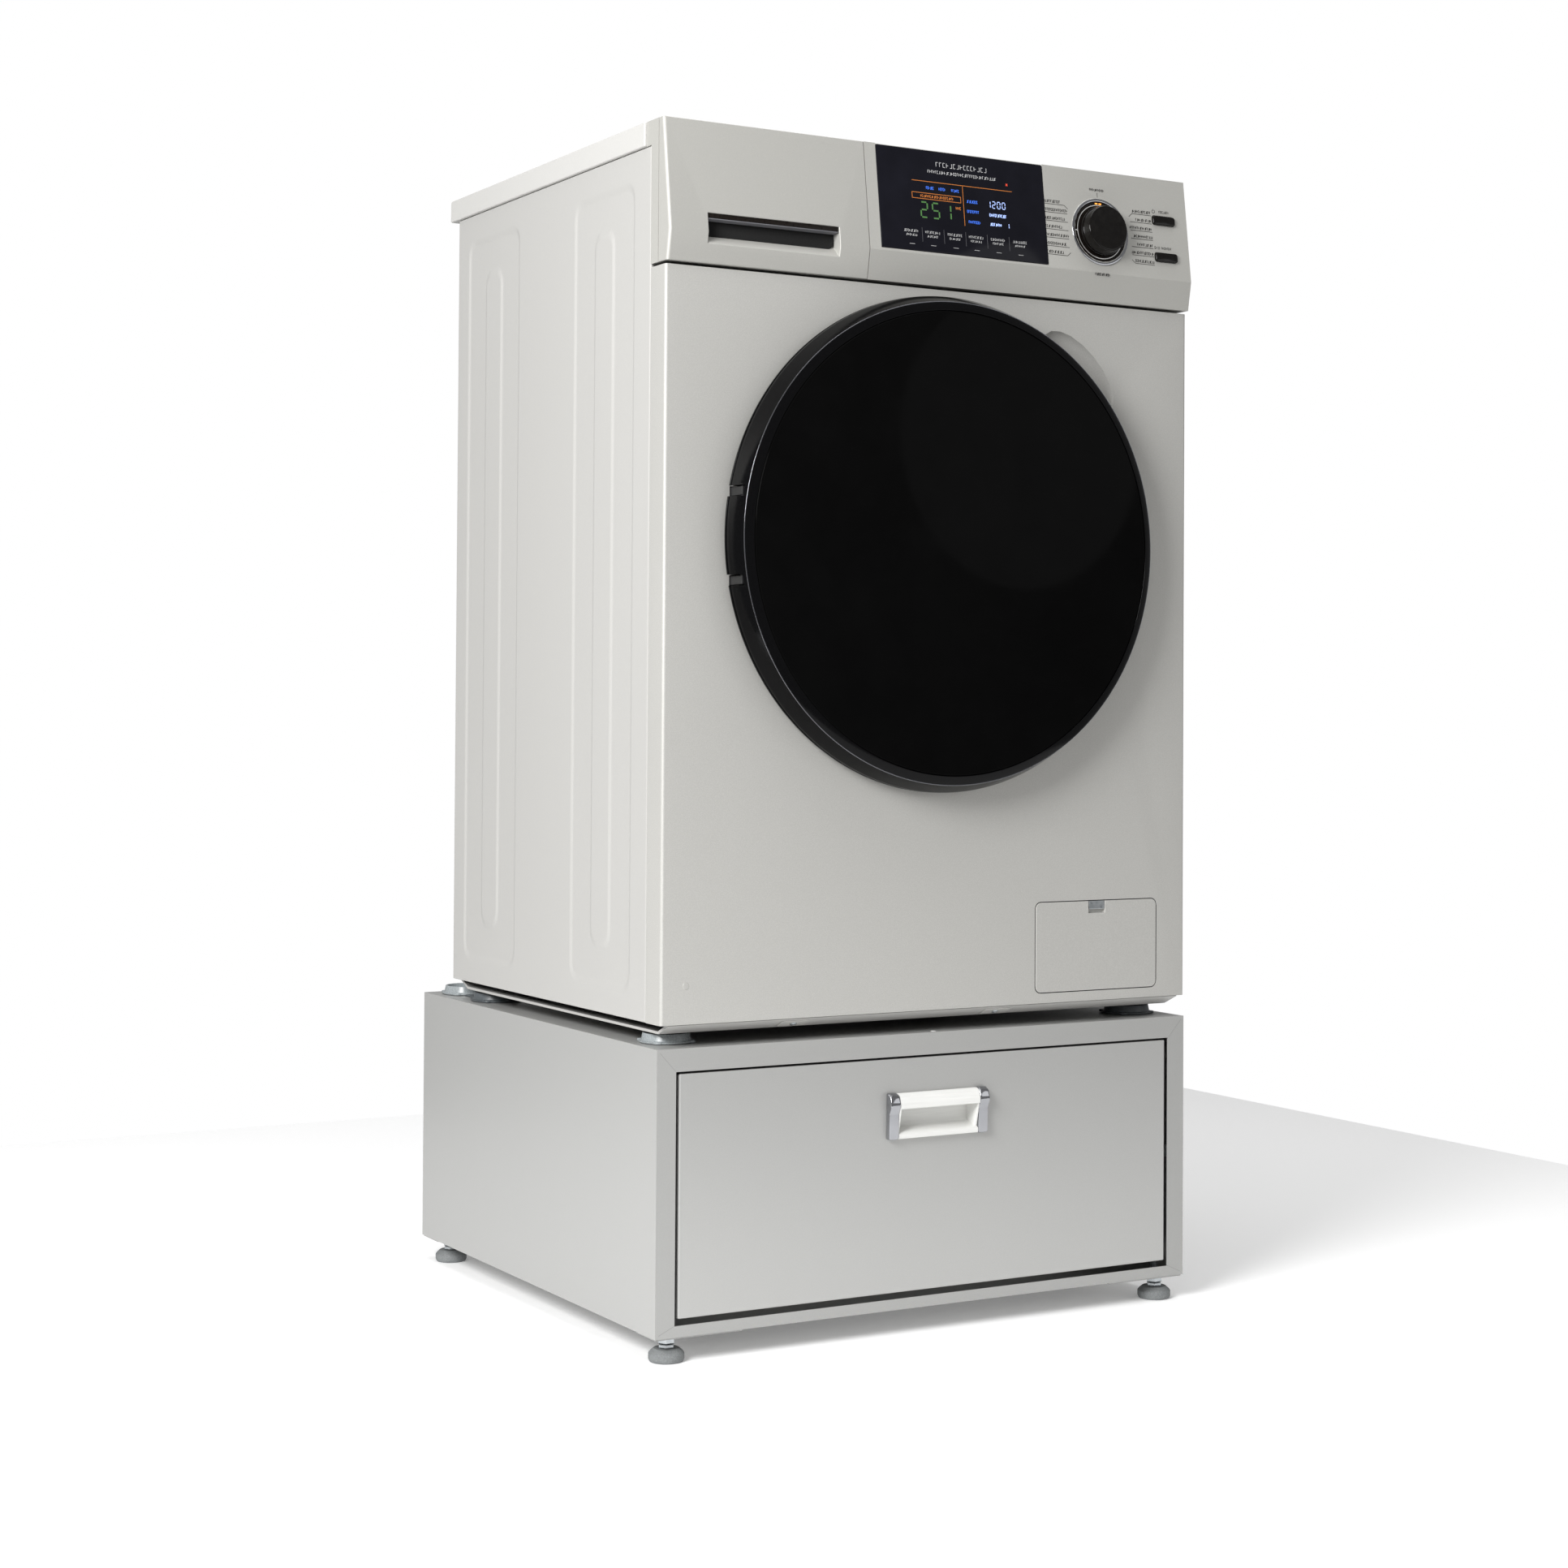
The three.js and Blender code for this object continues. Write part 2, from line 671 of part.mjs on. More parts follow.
// A cup pull: a hood over a pocket sunk in the drawer front, with an end cap at each side.
function drawerPull() {
  const face = drawerFrontSetBack - gap;
  const hoodLow = pullHigh - hoodDrop;
  const floorHigh = pullLow + 5 + pocketFall; // pocket's floor at its back
  const ceiling = pullHigh - 4;
  const body = extruded('x', [
    [face, pullLow],
    [-pullLip, pullLow],
    [-pullLip, pullLow + 4],
    [-pullLip + 2.5, pullLow + 6],
    [pocketDepth - pullSkin, floorHigh],
    [pocketDepth - pullSkin, ceiling],
    [-2, ceiling],
    [-pullLip, ceiling - 3],
    [-hoodBulge + 2.2, hoodLow],
    [-hoodBulge + 0.4, hoodLow],
    [-hoodBulge, pullHigh - 9],
    [-hoodBulge + 2.2, pullHigh - 2.5],
    [-3, pullHigh],
    [face, pullHigh],
    [face, ceiling + pullSkin],
    [pocketDepth, ceiling + pullSkin],
    [pocketDepth, floorHigh - 2],
    [face, pullLow + 3.5],
  ], [pullLeft, pullRight]);
  const ends = [pullLeft, pullRight - pullSkin].map((x) => block(
    [x, x + pullSkin],
    [face, pocketDepth],
    [pullLow + 4, pullHigh - 3],
  ));
  piece('drawer_pull', 'satinAluminium', join(body, ...ends));

  const capOutline = [
    [face, pullLow - capProud],
    [-pullLip - capProud, pullLow - capProud],
    [-pullLip - capProud, hoodLow - 4],
    [-hoodBulge - capProud, hoodLow + 3],
    [-hoodBulge - capProud, pullHigh - 8],
    [-hoodBulge + 2, pullHigh - 1.6],
    [-3, pullHigh + capProud],
    [face, pullHigh + capProud],
  ];
  piece('pull_cap_left', 'chrome', extruded('x', capOutline, [pullLeft - capWidth, pullLeft - gap]));
  piece('pull_cap_right', 'chrome', extruded('x', capOutline, [pullRight + gap, pullRight + capWidth]));
}

// The rail that the drawer's runner slides in, on a spacer fixed to the side of the case.
function slideRails() {
  const web = runnerReach + play;
  const mouth = boxHalf + 2;
  const low = runnerLow - play;
  const high = runnerLow + runnerHeight + play;
  const length = [boxFront, boxBack + railTail];
  const height = [low - railLip, high + railLip];
  for (const [word, side] of sides) {
    const outer = block([side * mouth, side * (web + sheet)], length, height);
    const inner = block([side * (mouth - over), side * web], widened(length, over), [low, high]);
    const spacer = block([side * (web + sheet / 2), side * (halfCase - sheet - gap)], length, height);
    piece(`slide_rail_${word}`, 'zinc', join(cut(outer, inner), spacer));
  }
}

// ---- Cups and feet between the two machines -----------------------------------------------

function cupProfile() {
  const flange = cupRadius + cupFlange;
  return [
    [0, 0], [flange - 0.8, 0], [flange, 0.8], [flange, cupFlangeThickness], [cupRadius, cupFlangeThickness],
    [cupRadius, cupHeight], [cupRadius - cupWall, cupHeight], [cupRadius - cupWall, cupFloor], [0, cupFloor],
  ];
}

function footCups() {
  for (const [word, side] of sides) {
    const x = side * footX;
    const cup = (y) => turned('z', cupProfile(), [x, y, cupLow], turnSteps);
    piece(`foot_cup_front_${word}`, 'greyPlastic', cup(footFrontY));
    const pair = [footRearY, footRearY + spareCupPitch].map(cup);
    const half = cupRadius * cupBridgeShare;
    const bridge = block(
      [x - half, x + half],
      [footRearY + cupRadius - cupWall / 2, footRearY + spareCupPitch - cupRadius + cupWall / 2],
      [cupLow, cupLow + cupFlangeThickness],
    );
    piece(`foot_cup_rear_${word}`, 'greyPlastic', join(...pair, bridge));
  }
}

function washerFeet() {
  const low = cupLow + cupFloor + gap;
  const high = low + washerFootHeight;
  for (const [word, side] of sides) {
    for (const [place, y] of [['front', footFrontY], ['rear', footRearY]]) {
      piece(`washer_foot_${place}_${word}`, 'darkRubber', turned('z', [
        [0, low], [washerFootRadius - 1, low], [washerFootRadius, low + 1.5],
        [washerFootRadius - 1, high - 3],
        [washerStudRadius + 3, high], [washerStudRadius, high],
        [washerStudRadius, cabinetLow + washerStudRise], [0, cabinetLow + washerStudRise],
      ], [side * footX, y, 0]));
    }
  }
}

// ---- Washer cabinet -----------------------------------------------------------------------

// The pressed tray under the machine. Its front edge slopes back under the front panel.
function washerBase() {
  const low = cabinetLow - gap;
  const front = cabinetFront;
  const back = cabinetBack - sheet - gap;
  const flange = innerFront + gap;
  const half = halfCabinet - lipSideInset;
  const tray = extruded('x', [
    [front, low], [front + lipSetBack, baseLow], [back - lipSetBack, baseLow], [back, low],
    [back, low + baseRearRise], [back - baseSheet, low + baseRearRise], [back - baseSheet, low + 1],
    [back - lipSetBack - 1, baseLow + baseSheet], [front + lipSetBack + 1, baseLow + baseSheet],
    [flange + baseSheet, low + 1], [flange + baseSheet, low + baseFrontRise], [flange, low + baseFrontRise],
    [flange, low],
  ], [-half, half]);
  const holes = sides.flatMap(([, side]) => [footFrontY, footRearY].map((y) => rod(
    'z',
    washerStudRadius + play,
    [caseTop, cabinetLow + washerStudRise],
    [side * footX, y, 0],
  )));
  piece('washer_base', 'sideSteel', cut(tray, ...holes));
}

function pressedRectangle(yRange, zRange, corner, xLimits) {
  const outline = roundedRectangle(yRange, zRange, corner);
  return extruded('x', outline, [Math.min(...xLimits), Math.max(...xLimits)], 2);
}

// A side panel with two recesses pressed inwards, each with a long plateau left in its middle.
function sidePanel(word, side) {
  const outer = side * halfCabinet;
  const deep = side * (halfCabinet - embossDepth - sheet);
  const depthRange = [cabinetFront + frontWrap + gap, cabinetBack - sheet - gap];
  const heightRange = [cabinetLow, cabinetHigh - gap];
  const face = [outer + side, side * (halfCabinet - embossDepth)];
  const back = [deep - side, side * (halfCabinet - sheet)];
  const ring = (grow, xLimits, start) => {
    const y = [cabinetFront + start, cabinetFront + start + embossWidth];
    const z = [cabinetLow + embossBottom, cabinetHigh - embossTop];
    const plateauY = widened(y, (embossPlateauWidth - embossWidth) / 2);
    const plateauZ = widened(z, -embossPlateauInset);
    return cut(
      pressedRectangle(widened(y, grow), widened(z, grow), embossCorner + grow, xLimits),
      pressedRectangle(widened(plateauY, -grow), widened(plateauZ, -grow), plateauCorner - grow, xLimits),
    );
  };
  const starts = [embossFirst, embossFirst + embossPitch];
  const hollow = cut(
    block(back, widened(depthRange, -sideRim), widened(heightRange, -sideRim)),
    ...starts.map((start) => ring(sheet, back, start)),
  );
  const panel = cut(
    block([outer, deep], depthRange, heightRange),
    ...starts.map((start) => ring(0, face, start)),
    hollow,
  );
  const hanger = block(
    [side * (halfCabinet - sheet / 2), side * (springX - springRadius)],
    [springY - hangerHalf, springY + hangerHalf],
    [cabinetHigh - springTopDrop, cabinetHigh - springTopDrop + 2 * sheet],
  );
  piece(`washer_side_${word}`, 'sideSteel', join(panel, hanger));
}

function sidePanels() {
  for (const [word, side] of sides) sidePanel(word, side);
}

// The rear panel with its pressed service cover, the drain hose spigot and the cord inlet.
function rearPanel() {
  const half = halfCabinet - sheet - gap;
  const face = cabinetBack;
  const plate = block([-half, half], [face - sheet, face], [cabinetLow, cabinetHigh - gap]);
  const pressed = (inset, y) => extruded(
    'y',
    roundedRectangle(
      [inset - serviceHalf, serviceHalf - inset],
      [doorZ - serviceDrop + inset, doorZ + serviceRise - inset],
      serviceCorner - inset,
    ),
    y,
    3,
  );
  const cover = pressed(0, [face - sheet / 2, face + serviceProud]);
  const coverHollow = pressed(sheet, [face - sheet - over, face + serviceProud - sheet]);
  const hoses = inletPlaces.map((x) => rod('y', inletRadius + 2, [face - 5, face + 5], [x, 0, inletZ]));
  const spigotPlace = [spigotInset - halfCabinet, 0, cabinetLow + spigotRise];
  const spigot = rod('y', spigotRadius, [face - sheet / 2, face + spigotReach], spigotPlace);
  const spigotBore = rod('y', spigotRadius - spigotWall, [face - 4, face + spigotReach + over], spigotPlace);
  const cordPlace = [halfCabinet - cordInset, 0, cabinetLow + cordRise];
  const cordBoss = rod('y', cordBossRadius, [face - sheet / 2, face + cordBossReach], cordPlace);
  const cordBore = rod('y', cordRadius, [face - 4, face + cordBossReach + over], cordPlace);
  piece('washer_rear_panel', 'sideSteel', cut(
    join(plate, cover, spigot, cordBoss),
    coverHollow,
    spigotBore,
    cordBore,
    ...hoses,
  ));
}

// A shallow dish for the fingers, beside the door.
function scoop(grow) {
  const geometry = new THREE.SphereGeometry(1, 20, 10);
  geometry.scale(scoopLength + grow, scoopDepth + grow, scoopReach + grow);
  geometry.rotateY(Math.PI / 2 - scoopRadians);
  geometry.translate(scoopX, cabinetFront, scoopZ);
  return toSolid(geometry);
}

// The painted front, folded round both sides, with the door port and the filter opening.
function frontPanel() {
  const back = cabinetFront + frontWrap;
  const outline = (half, front, radius) => {
    const shape = new THREE.Shape();
    shape.moveTo(-half, back + over);
    shape.lineTo(-half, front + radius);
    shape.absarc(-half + radius, front + radius, radius, Math.PI, 1.5 * Math.PI);
    shape.absarc(half - radius, front + radius, radius, 1.5 * Math.PI, 2 * Math.PI);
    shape.lineTo(half, back + over);
    return shape;
  };
  const through = [cabinetFront - over, innerFront + over];
  const past = [cabinetLow - over, frontTop + over];
  const wrap = cut(
    extruded('z', outline(halfCabinet, cabinetFront, frontCorner), [cabinetLow, frontTop]),
    extruded('z', outline(halfCabinet - sheet, innerFront, frontCorner - sheet), past),
    block([-halfCabinet - over, halfCabinet + over], [back, back + 2 * over], past),
  );
  const port = rod('y', portRadius, through, doorCentre, arcSteps);
  const flapOutline = roundedRectangle([flapLeft, flapRight], [flapLow, flapHigh], flapCorner);
  const filter = extruded('y', flapOutline, through);
  const dish = cut(
    scoop(sheet),
    block(
      [-halfCabinet, halfCabinet],
      [cabinetFront - 2 * scoopDepth, innerFront - sheet / 2],
      [doorZ, frontTop],
    ),
  );
  const slots = [-1, 1].map((way) => block(
    [hingeX - hingeArmWidth / 2 - hingeSlotRoom, hingeX + hingeArmWidth / 2 + hingeSlotRoom],
    through,
    [
      doorZ + way * hingeArmRise - hingeArmHeight / 2 - hingeSlotRoom,
      doorZ + way * hingeArmRise + hingeArmHeight / 2 + hingeSlotRoom,
    ],
  ));
  const hookSlot = block(
    [hookX - hookWidth / 2 - 5, hookX + hookWidth / 2 + hookSwing],
    through,
    [doorZ - hookHeight, doorZ + hookHeight],
  );
  const shell = cut(join(wrap, dish), scoop(0), port, filter, ...slots, hookSlot);
  piece('washer_front_panel', 'frontSteel', shell);
}

// The laminated worktop.
function topCover() {
  const half = halfCabinet + coverOverhang;
  const outline = [
    [panelTopDepth + gap, cabinetHigh], [cabinetBack + coverRearOverhang, cabinetHigh],
    [cabinetBack + coverRearOverhang, machineTop - coverChamfer],
    [cabinetBack + coverRearOverhang - coverChamfer, machineTop],
    [panelTopDepth + gap, machineTop],
  ];
  piece('washer_top_cover', 'sideSteel', extruded('x', outline, [-half, half]));
}

// ---- Control panel and what is in it ------------------------------------------------------

// Outline (y, z) of the panel's front, moved back by an inset, and closed at a rear limit.
function frontOutline(inset, rear, low, high) {
  const lean = (panelTopY - panelFoldY) / (panelHeight - panelFoldHeight);
  const foldZ = panelLow + panelFoldHeight;
  const yAt = (z) => (z > foldZ
    ? panelFoldY + (z - foldZ) * lean
    : panelFoldY + ((foldZ - z) * (panelBottomY - panelFoldY)) / panelFoldHeight);
  return [
    [yAt(low) + inset, low], [rear, low], [rear, high], [yAt(high) + inset, high],
    [yAt(foldZ) + inset, foldZ],
  ];
}

function controlPanel() {
  const main = cut(
    extruded('x', frontOutline(0, panelTopDepth, panelLow, machineTop), [splitX, panelHalf]),
    extruded(
      'x',
      frontOutline(panelWall, panelTopDepth + over, panelLow + panelWall, machineTop - panelWall),
      [splitX + panelWall, panelHalf - panelWall],
    ),
    block(
      [splitX - over, panelHalf + over],
      [panelSideDepth, panelTopDepth + over],
      [panelLow - over, cabinetHigh],
    ),
  );
  const plateBack = drawerPlateBack + gap;
  const strip = block([panelLeft, splitX + over], [plateBack, panelTopDepth], [cabinetHigh, machineTop]);
  const endWall = block(
    [panelLeft, panelLeft + panelWall - sheet],
    [plateBack, panelSideDepth],
    [panelLow, machineTop],
  );
  const lowRail = block(
    [panelLeft, splitX + over],
    [plateBack, panelSideDepth],
    [panelLow, panelLow + panelWall],
  );
  const lensPocket = onFace(
    block(
      [-lensWidth / 2 - gap, lensWidth / 2 + gap],
      [-gap, lensLength + 2 * lensThickness],
      [lensProud - lensThickness - gap, lensThickness],
    ),
    lensX,
    lensRise,
  );
  const bezel = onFace(turned('z', closed([
    [bezelRadius - bezelWidth, -1], [bezelRadius, -1], [bezelRadius, bezelHeight - 0.4],
    [bezelRadius - 0.6, bezelHeight], [bezelRadius - bezelWidth, bezelHeight],
  ]), [0, 0, 0], dialSteps), dialX, dialCentreUp);
  const through = [-2 * panelWall - over, panelWall];
  const stemHole = onFace(rod('z', dialStemRadius + play, through, [0, 0, 0]), dialX, dialCentreUp);
  const buttonHoles = [powerUp, startUp].map((up) => onFace(buttonSolid(gap, through), buttonX, up));
  const shell = cut(join(main, strip, endWall, lowRail, bezel), lensPocket, stemHole, ...buttonHoles);
  piece('control_panel', 'panelPlastic', shell);
}

function buttonSolid(grow, limits) {
  const half = [buttonWidth / 2 + grow, buttonHeight / 2 + grow];
  return extruded(
    'z',
    roundedRectangle([-half[0], half[0]], [-half[1], half[1]], buttonCorner + grow),
    limits,
  );
}

function displayWindow() {
  const half = lensWidth / 2;
  const plate = block([-half, half], [0, lensLength], [lensProud - lensThickness, lensProud]);
  piece('display_window', 'blackGloss', onFace(plate, lensX, lensRise));
}

function programKnob() {
  const low = bezelHeight + gap;
  const knob = turned('z', [
    [0, low], [dialRadius, low], [dialRadius, low + 3], [dialTopRadius, dialHeight - 1],
    [dialTopRadius - 1, dialHeight], [0, dialHeight],
  ], [0, 0, 0], dialSteps);
  const stem = rod('z', dialStemRadius, [-dialStemLength, low + over], [0, 0, 0]);
  piece('program_knob', 'blackGloss', onFace(join(knob, stem), dialX, dialCentreUp));
}

function buttons() {
  for (const [name, up] of [['power_button', powerUp], ['start_button', startUp]]) {
    piece(name, 'blackGloss', onFace(buttonSolid(0, [-buttonBody, buttonProud]), buttonX, up));
  }
}

// The electronics behind the panel: a board with the display module and the dial's encoder.
function controlBoard() {
  const depth = [boardY - moduleDepth, boardY + boardThickness / 2];
  const board = block(
    [splitX + 10, panelHalf - 8],
    [boardY, boardY + boardThickness],
    [panelLow + 10, cabinetHigh - 4],
  );
  const moduleHalf = lensWidth / 2 - moduleInset;
  const module = block([lensX - moduleHalf, lensX + moduleHalf], depth, [panelLow + 40, cabinetHigh - 8]);
  const dialZ = panelLow + dialCentreUp;
  const encoder = block([dialX - 10, dialX + 10], depth, [dialZ - 12, dialZ + 8]);
  piece('control_board', 'circuitBoard', join(board, module, encoder));
}

function detergentDrawer() {
  const plate = extruded(
    'x',
    frontOutline(0, drawerPlateBack, panelLow, machineTop),
    [panelLeft, splitX - gap],
  );
  const grabLow = panelLow + grabBottom;
  const grabLip = grabLow + grabOpening;
  const grabTop = grabLip + grabBar;
  const grabDeep = drawerPlateBack - grabBackWall;
  const barY = panelFoldY + (grabTop - panelLow - panelFoldHeight) * (faceUp.y / faceUp.z);
  const grab = extruded('x', [
    [panelFoldY - 5, grabLow - 3], [grabDeep, grabLow - 3 + grabSlope], [grabDeep, grabTop],
    [barY + grabBarThickness, grabTop], [barY + grabBarThickness, grabLip], [panelFoldY - 5, grabLip],
  ], [panelLeft + grabLeft, panelLeft + grabLeft + grabWidth]);
  const back = drawerPlateBack + trayLength;
  const tray = block([trayLeft, trayRight], [drawerPlateBack - over, back], [trayLow, trayLow + trayHeight]);
  const middle = (trayLeft + trayRight) / 2;
  const rooms = [
    [[trayLeft + trayWall, middle - trayWall / 2], [drawerPlateBack + trayWall, back - trayWall]],
    [[middle + trayWall / 2, trayRight - trayWall], [drawerPlateBack + trayWall, back - trayRearRoom]],
    [[middle + trayWall / 2, trayRight - trayWall], [back - trayRearRoom + trayWall, back - trayWall]],
  ].map(([x, y]) => block(x, y, [trayLow + trayWall, trayLow + trayHeight + over]));
  piece('detergent_drawer', 'panelPlastic', cut(join(plate, tray), grab, ...rooms));
}

function dispenserHousing() {
  const front = drawerPlateBack + 2 * gap;
  const back = drawerPlateBack + trayLength + 4;
  const outer = block([housingLeft, housingRight], [front, back + housingWall], [housingLow, housingHigh]);
  const inner = block(
    [housingLeft + housingWall, housingRight - housingWall],
    [front - over, back],
    [housingLow + housingWall, housingHigh - housingWall],
  );
  const rail = block(
    [housingLeft - over, housingRight + over],
    [0, panelSideDepth + gap],
    [0, panelLow + panelWall + gap],
  );
  piece('dispenser_housing', 'tubPlastic', cut(outer, inner, rail));
}

// ---- Door ---------------------------------------------------------------------------------

// Room for the hinge arms while the door turns about them.
function armRoom() {
  return [-1, 1].map((way) => block(
    [-doorRadius - over, hingeX + hingeArmWidth / 2 + 1.5],
    [doorShoulder + doorSkin, 0],
    [
      doorZ + way * hingeArmRise - hingeArmHeight / 2 - hingeSlotRoom,
      doorZ + way * hingeArmRise + hingeArmHeight / 2 + hingeSlotRoom,
    ],
  ));
}

function doorRing() {
  const inner = doorShoulderRadius - shoulderWall;
  const ring = turned('y', closed([
    [glassRadius, doorFront], [doorShoulderRadius, doorShoulder],
    [doorRadius, doorWaist], [doorRadius, doorBack],
    [doorRadius - doorSkin, doorBack], [doorRadius - doorSkin, doorWaist + 1], [inner, doorShoulder + 4],
    [inner, doorShoulder + 3], [glassRadius - glassLedge, doorShoulder + 3],
    [glassRadius - glassLedge, doorShoulder + gap], [glassRadius, doorShoulder + gap],
  ]), doorCentre, doorSteps);
  piece('door_ring', 'blackPlastic', cut(ring, ...armRoom()));
}

function doorGlass() {
  const radius = glassRadius - gap;
  piece('door_glass', 'blackGloss', turned('y', [
    [0, doorFront], [radius - 0.8, doorFront], [radius, doorFront + 0.8],
    [radius, doorFront + coverGlassThickness], [0, doorFront + coverGlassThickness],
  ], doorCentre, doorSteps));
}

// The ring behind the door trim holds the bowl, the hinge knuckle and the hook.
function doorInnerFrame() {
  const plateFront = doorBack + gap;
  const wallOuter = doorShoulderRadius - frameWallInset;
  const wallInner = wallOuter - frameWall;
  const frame = turned('y', closed([
    [frameHoleRadius, plateFront], [frameHoleRadius, plateFront + framePlate],
    [frameOuterRadius, plateFront + framePlate], [frameOuterRadius, plateFront],
    [wallOuter, plateFront], [wallOuter, doorShoulder + 3 + gap], [wallInner, doorShoulder + 3 + gap],
    [wallInner, plateFront],
  ]), doorCentre, doorSteps);
  const knuckleHalf = hingeArmRise - hingeArmHeight / 2 - knuckleRoom;
  const insideRing = turned('y', [
    [0, doorShoulder + 4], [doorShoulderRadius - shoulderWall - play, doorShoulder + 4],
    [doorRadius - doorSkin - play, doorWaist + 1], [doorRadius - doorSkin - play, plateFront + 1],
    [0, plateFront + 1],
  ], doorCentre, doorSteps);
  const knuckle = block(
    [hingeX - hingePinRadius - 2, hingeX + 11],
    [hingeY - 5, plateFront + 1],
    [doorZ - knuckleHalf, doorZ + knuckleHalf],
  ).intersect(insideRing);
  const bore = rod(
    'z',
    hingePinRadius + gap,
    [doorZ - hingeArmRise, doorZ + hingeArmRise],
    [hingeX, hingeY, 0],
    turnSteps,
  );
  const hookRoom = block(
    [hookX - hookWidth / 2 - 3, hookX + hookWidth / 2 + 3],
    [hingeY, 0],
    [doorZ - hookHeight / 2 - play, doorZ + hookHeight / 2 + play],
  );
  piece('door_inner_frame', 'blackPlastic', cut(join(frame, knuckle), bore, hookRoom, ...armRoom()));
}

function doorBowl() {
  const rim = doorBack;
  const front = rim - bowlWall + 1;
  const nose = rim + bowlDepth;
  piece('door_bowl', 'glass', turned('y', [
    [0, nose], [bowlNoseRadius / 2, nose - 2], [bowlNoseRadius - bowlCorner * 0.6, nose - bowlCorner * 0.45],
    [bowlNoseRadius, nose - bowlCorner],
    [bowlMouthRadius, rim], [bowlMouthRadius + bowlFlange, rim], [bowlMouthRadius + bowlFlange, front],
    [bowlMouthRadius - bowlWall, front], [bowlNoseRadius - bowlWall, nose - bowlCorner - 2],
    [bowlNoseRadius - bowlCorner * 0.7, nose - bowlCorner * 0.6], [bowlNoseRadius / 2, nose - 2 - bowlWall],
    [0, nose - bowlWall],
  ], doorCentre, arcSteps));
}

function doorHook() {
  const low = doorZ - hookHeight / 2;
  const high = doorZ + hookHeight / 2;
  const left = hookX - hookWidth / 2;
  const tip = cabinetFront + hookReach;
  const outline = [
    [left, hingeY + 6], [left + hookWidth, hingeY + 6],
    [left + hookWidth, tip - 4], [left + hookWidth - 2, tip],
    [left - 2, tip], [left - 2, tip - 4], [left + 2, tip - 5], [left + 2, doorBack], [left, doorBack - 2],
  ];
  piece('door_hook', 'zinc', extruded('z', outline, [low, high]));
}

// The hinge bracket behind the front panel; its two arms hold the pin in front of the panel.
function doorHinge() {
  const plateFront = innerFront + gap;
  const reach = hingeArmRise + hingeArmHeight / 2;
  const plate = block(
    [hingeX - 12, hingeX + 46],
    [plateFront, plateFront + 2],
    [doorZ - reach - hingePlateRise, doorZ + reach + hingePlateRise],
  );
  const arms = [-1, 1].map((way) => block(
    [hingeX - hingeArmWidth / 2, hingeX + hingeArmWidth / 2],
    [hingeY - 3, plateFront + over],
    [doorZ + way * hingeArmRise - hingeArmHeight / 2, doorZ + way * hingeArmRise + hingeArmHeight / 2],
  ));
  const pin = rod(
    'z',
    hingePinRadius,
    [doorZ - hingeArmRise, doorZ + hingeArmRise],
    [hingeX, hingeY, 0],
    turnSteps,
  );
  piece('door_hinge', 'blackPlastic', join(plate, ...arms, pin));
}

// ---- Gasket, tub, drum and drive ----------------------------------------------------------

function doorGasket() {
  const front = innerFront + gap;
  const lip = 151;
  const sleeve = tubMouthRadius - gap;
  piece('door_gasket', 'gasketRubber', turned('y', closed([
    [portRadius + 8, front], [portRadius + 8, front + 3.5], [portRadius + 4, front + 3.5],
    [portRadius + 4, front + 23],
    [sleeve, front + 34], [sleeve, tubFront + 8], [sleeve - 3.4, tubFront + 8], [sleeve - 3.4, front + 33],
    [portRadius, front + 22], [portRadius, front + 3.5], [lip, front + 3.5], [lip, front],
  ]), doorCentre, arcSteps));
}

function tubHalves() {
  const inner = tubRadius - tubWall;
  const flange = tubRadius + tubFlange;
  piece('tub_front', 'tubPlastic', turned('y', closed([
    [tubMouthRadius, tubFront], [tubRadius, tubFront], [tubRadius, tubSplit - tubFlangeWidth],
    [flange, tubSplit - tubFlangeWidth], [flange, tubSplit], [inner, tubSplit], [inner, tubFront + tubWall],
    [tubMouthRadius, tubFront + tubWall],
  ]), doorCentre, arcSteps));

  const bore = shaftRadius + play;
  const rear = tubSplit + gap;
  const shell = turned('y', closed([
    [inner, rear], [flange, rear], [flange, rear + tubFlangeWidth], [tubRadius, rear + tubFlangeWidth],
    [tubRadius, tubBack], [hubRadius, tubBack], [hubRadius, tubBack + hubLength - 10],
    [bore, tubBack + hubLength - 10], [bore, tubBack - 11], [hubRadius, tubBack - 11],
    [hubRadius, tubBack - tubWall], [inner, tubBack - tubWall],
  ]), doorCentre, arcSteps);
  const ears = sides.map(([, side]) => block(
    [side * (springX - 10), side * (springX + 10)],
    [springY - 6, springY + 6],
    [doorZ + onTub(springX + 10) - 3, springLow - gap],
  ));
  const insideTub = rod('y', tubRadius - 1, [damperY - 9, damperY + 9], doorCentre, arcSteps);
  const lugs = sides.map(([, side]) => cut(block(
    [side * (damperTopX - 14), side * (damperTopX + 10)],
    [damperY - 8, damperY + 8],
    [damperTopZ + 2, doorZ - onTub(damperTopX + 10) + 3],
  ), insideTub));
  piece('tub_rear', 'tubPlastic', join(shell, ...ears, ...lugs));
}

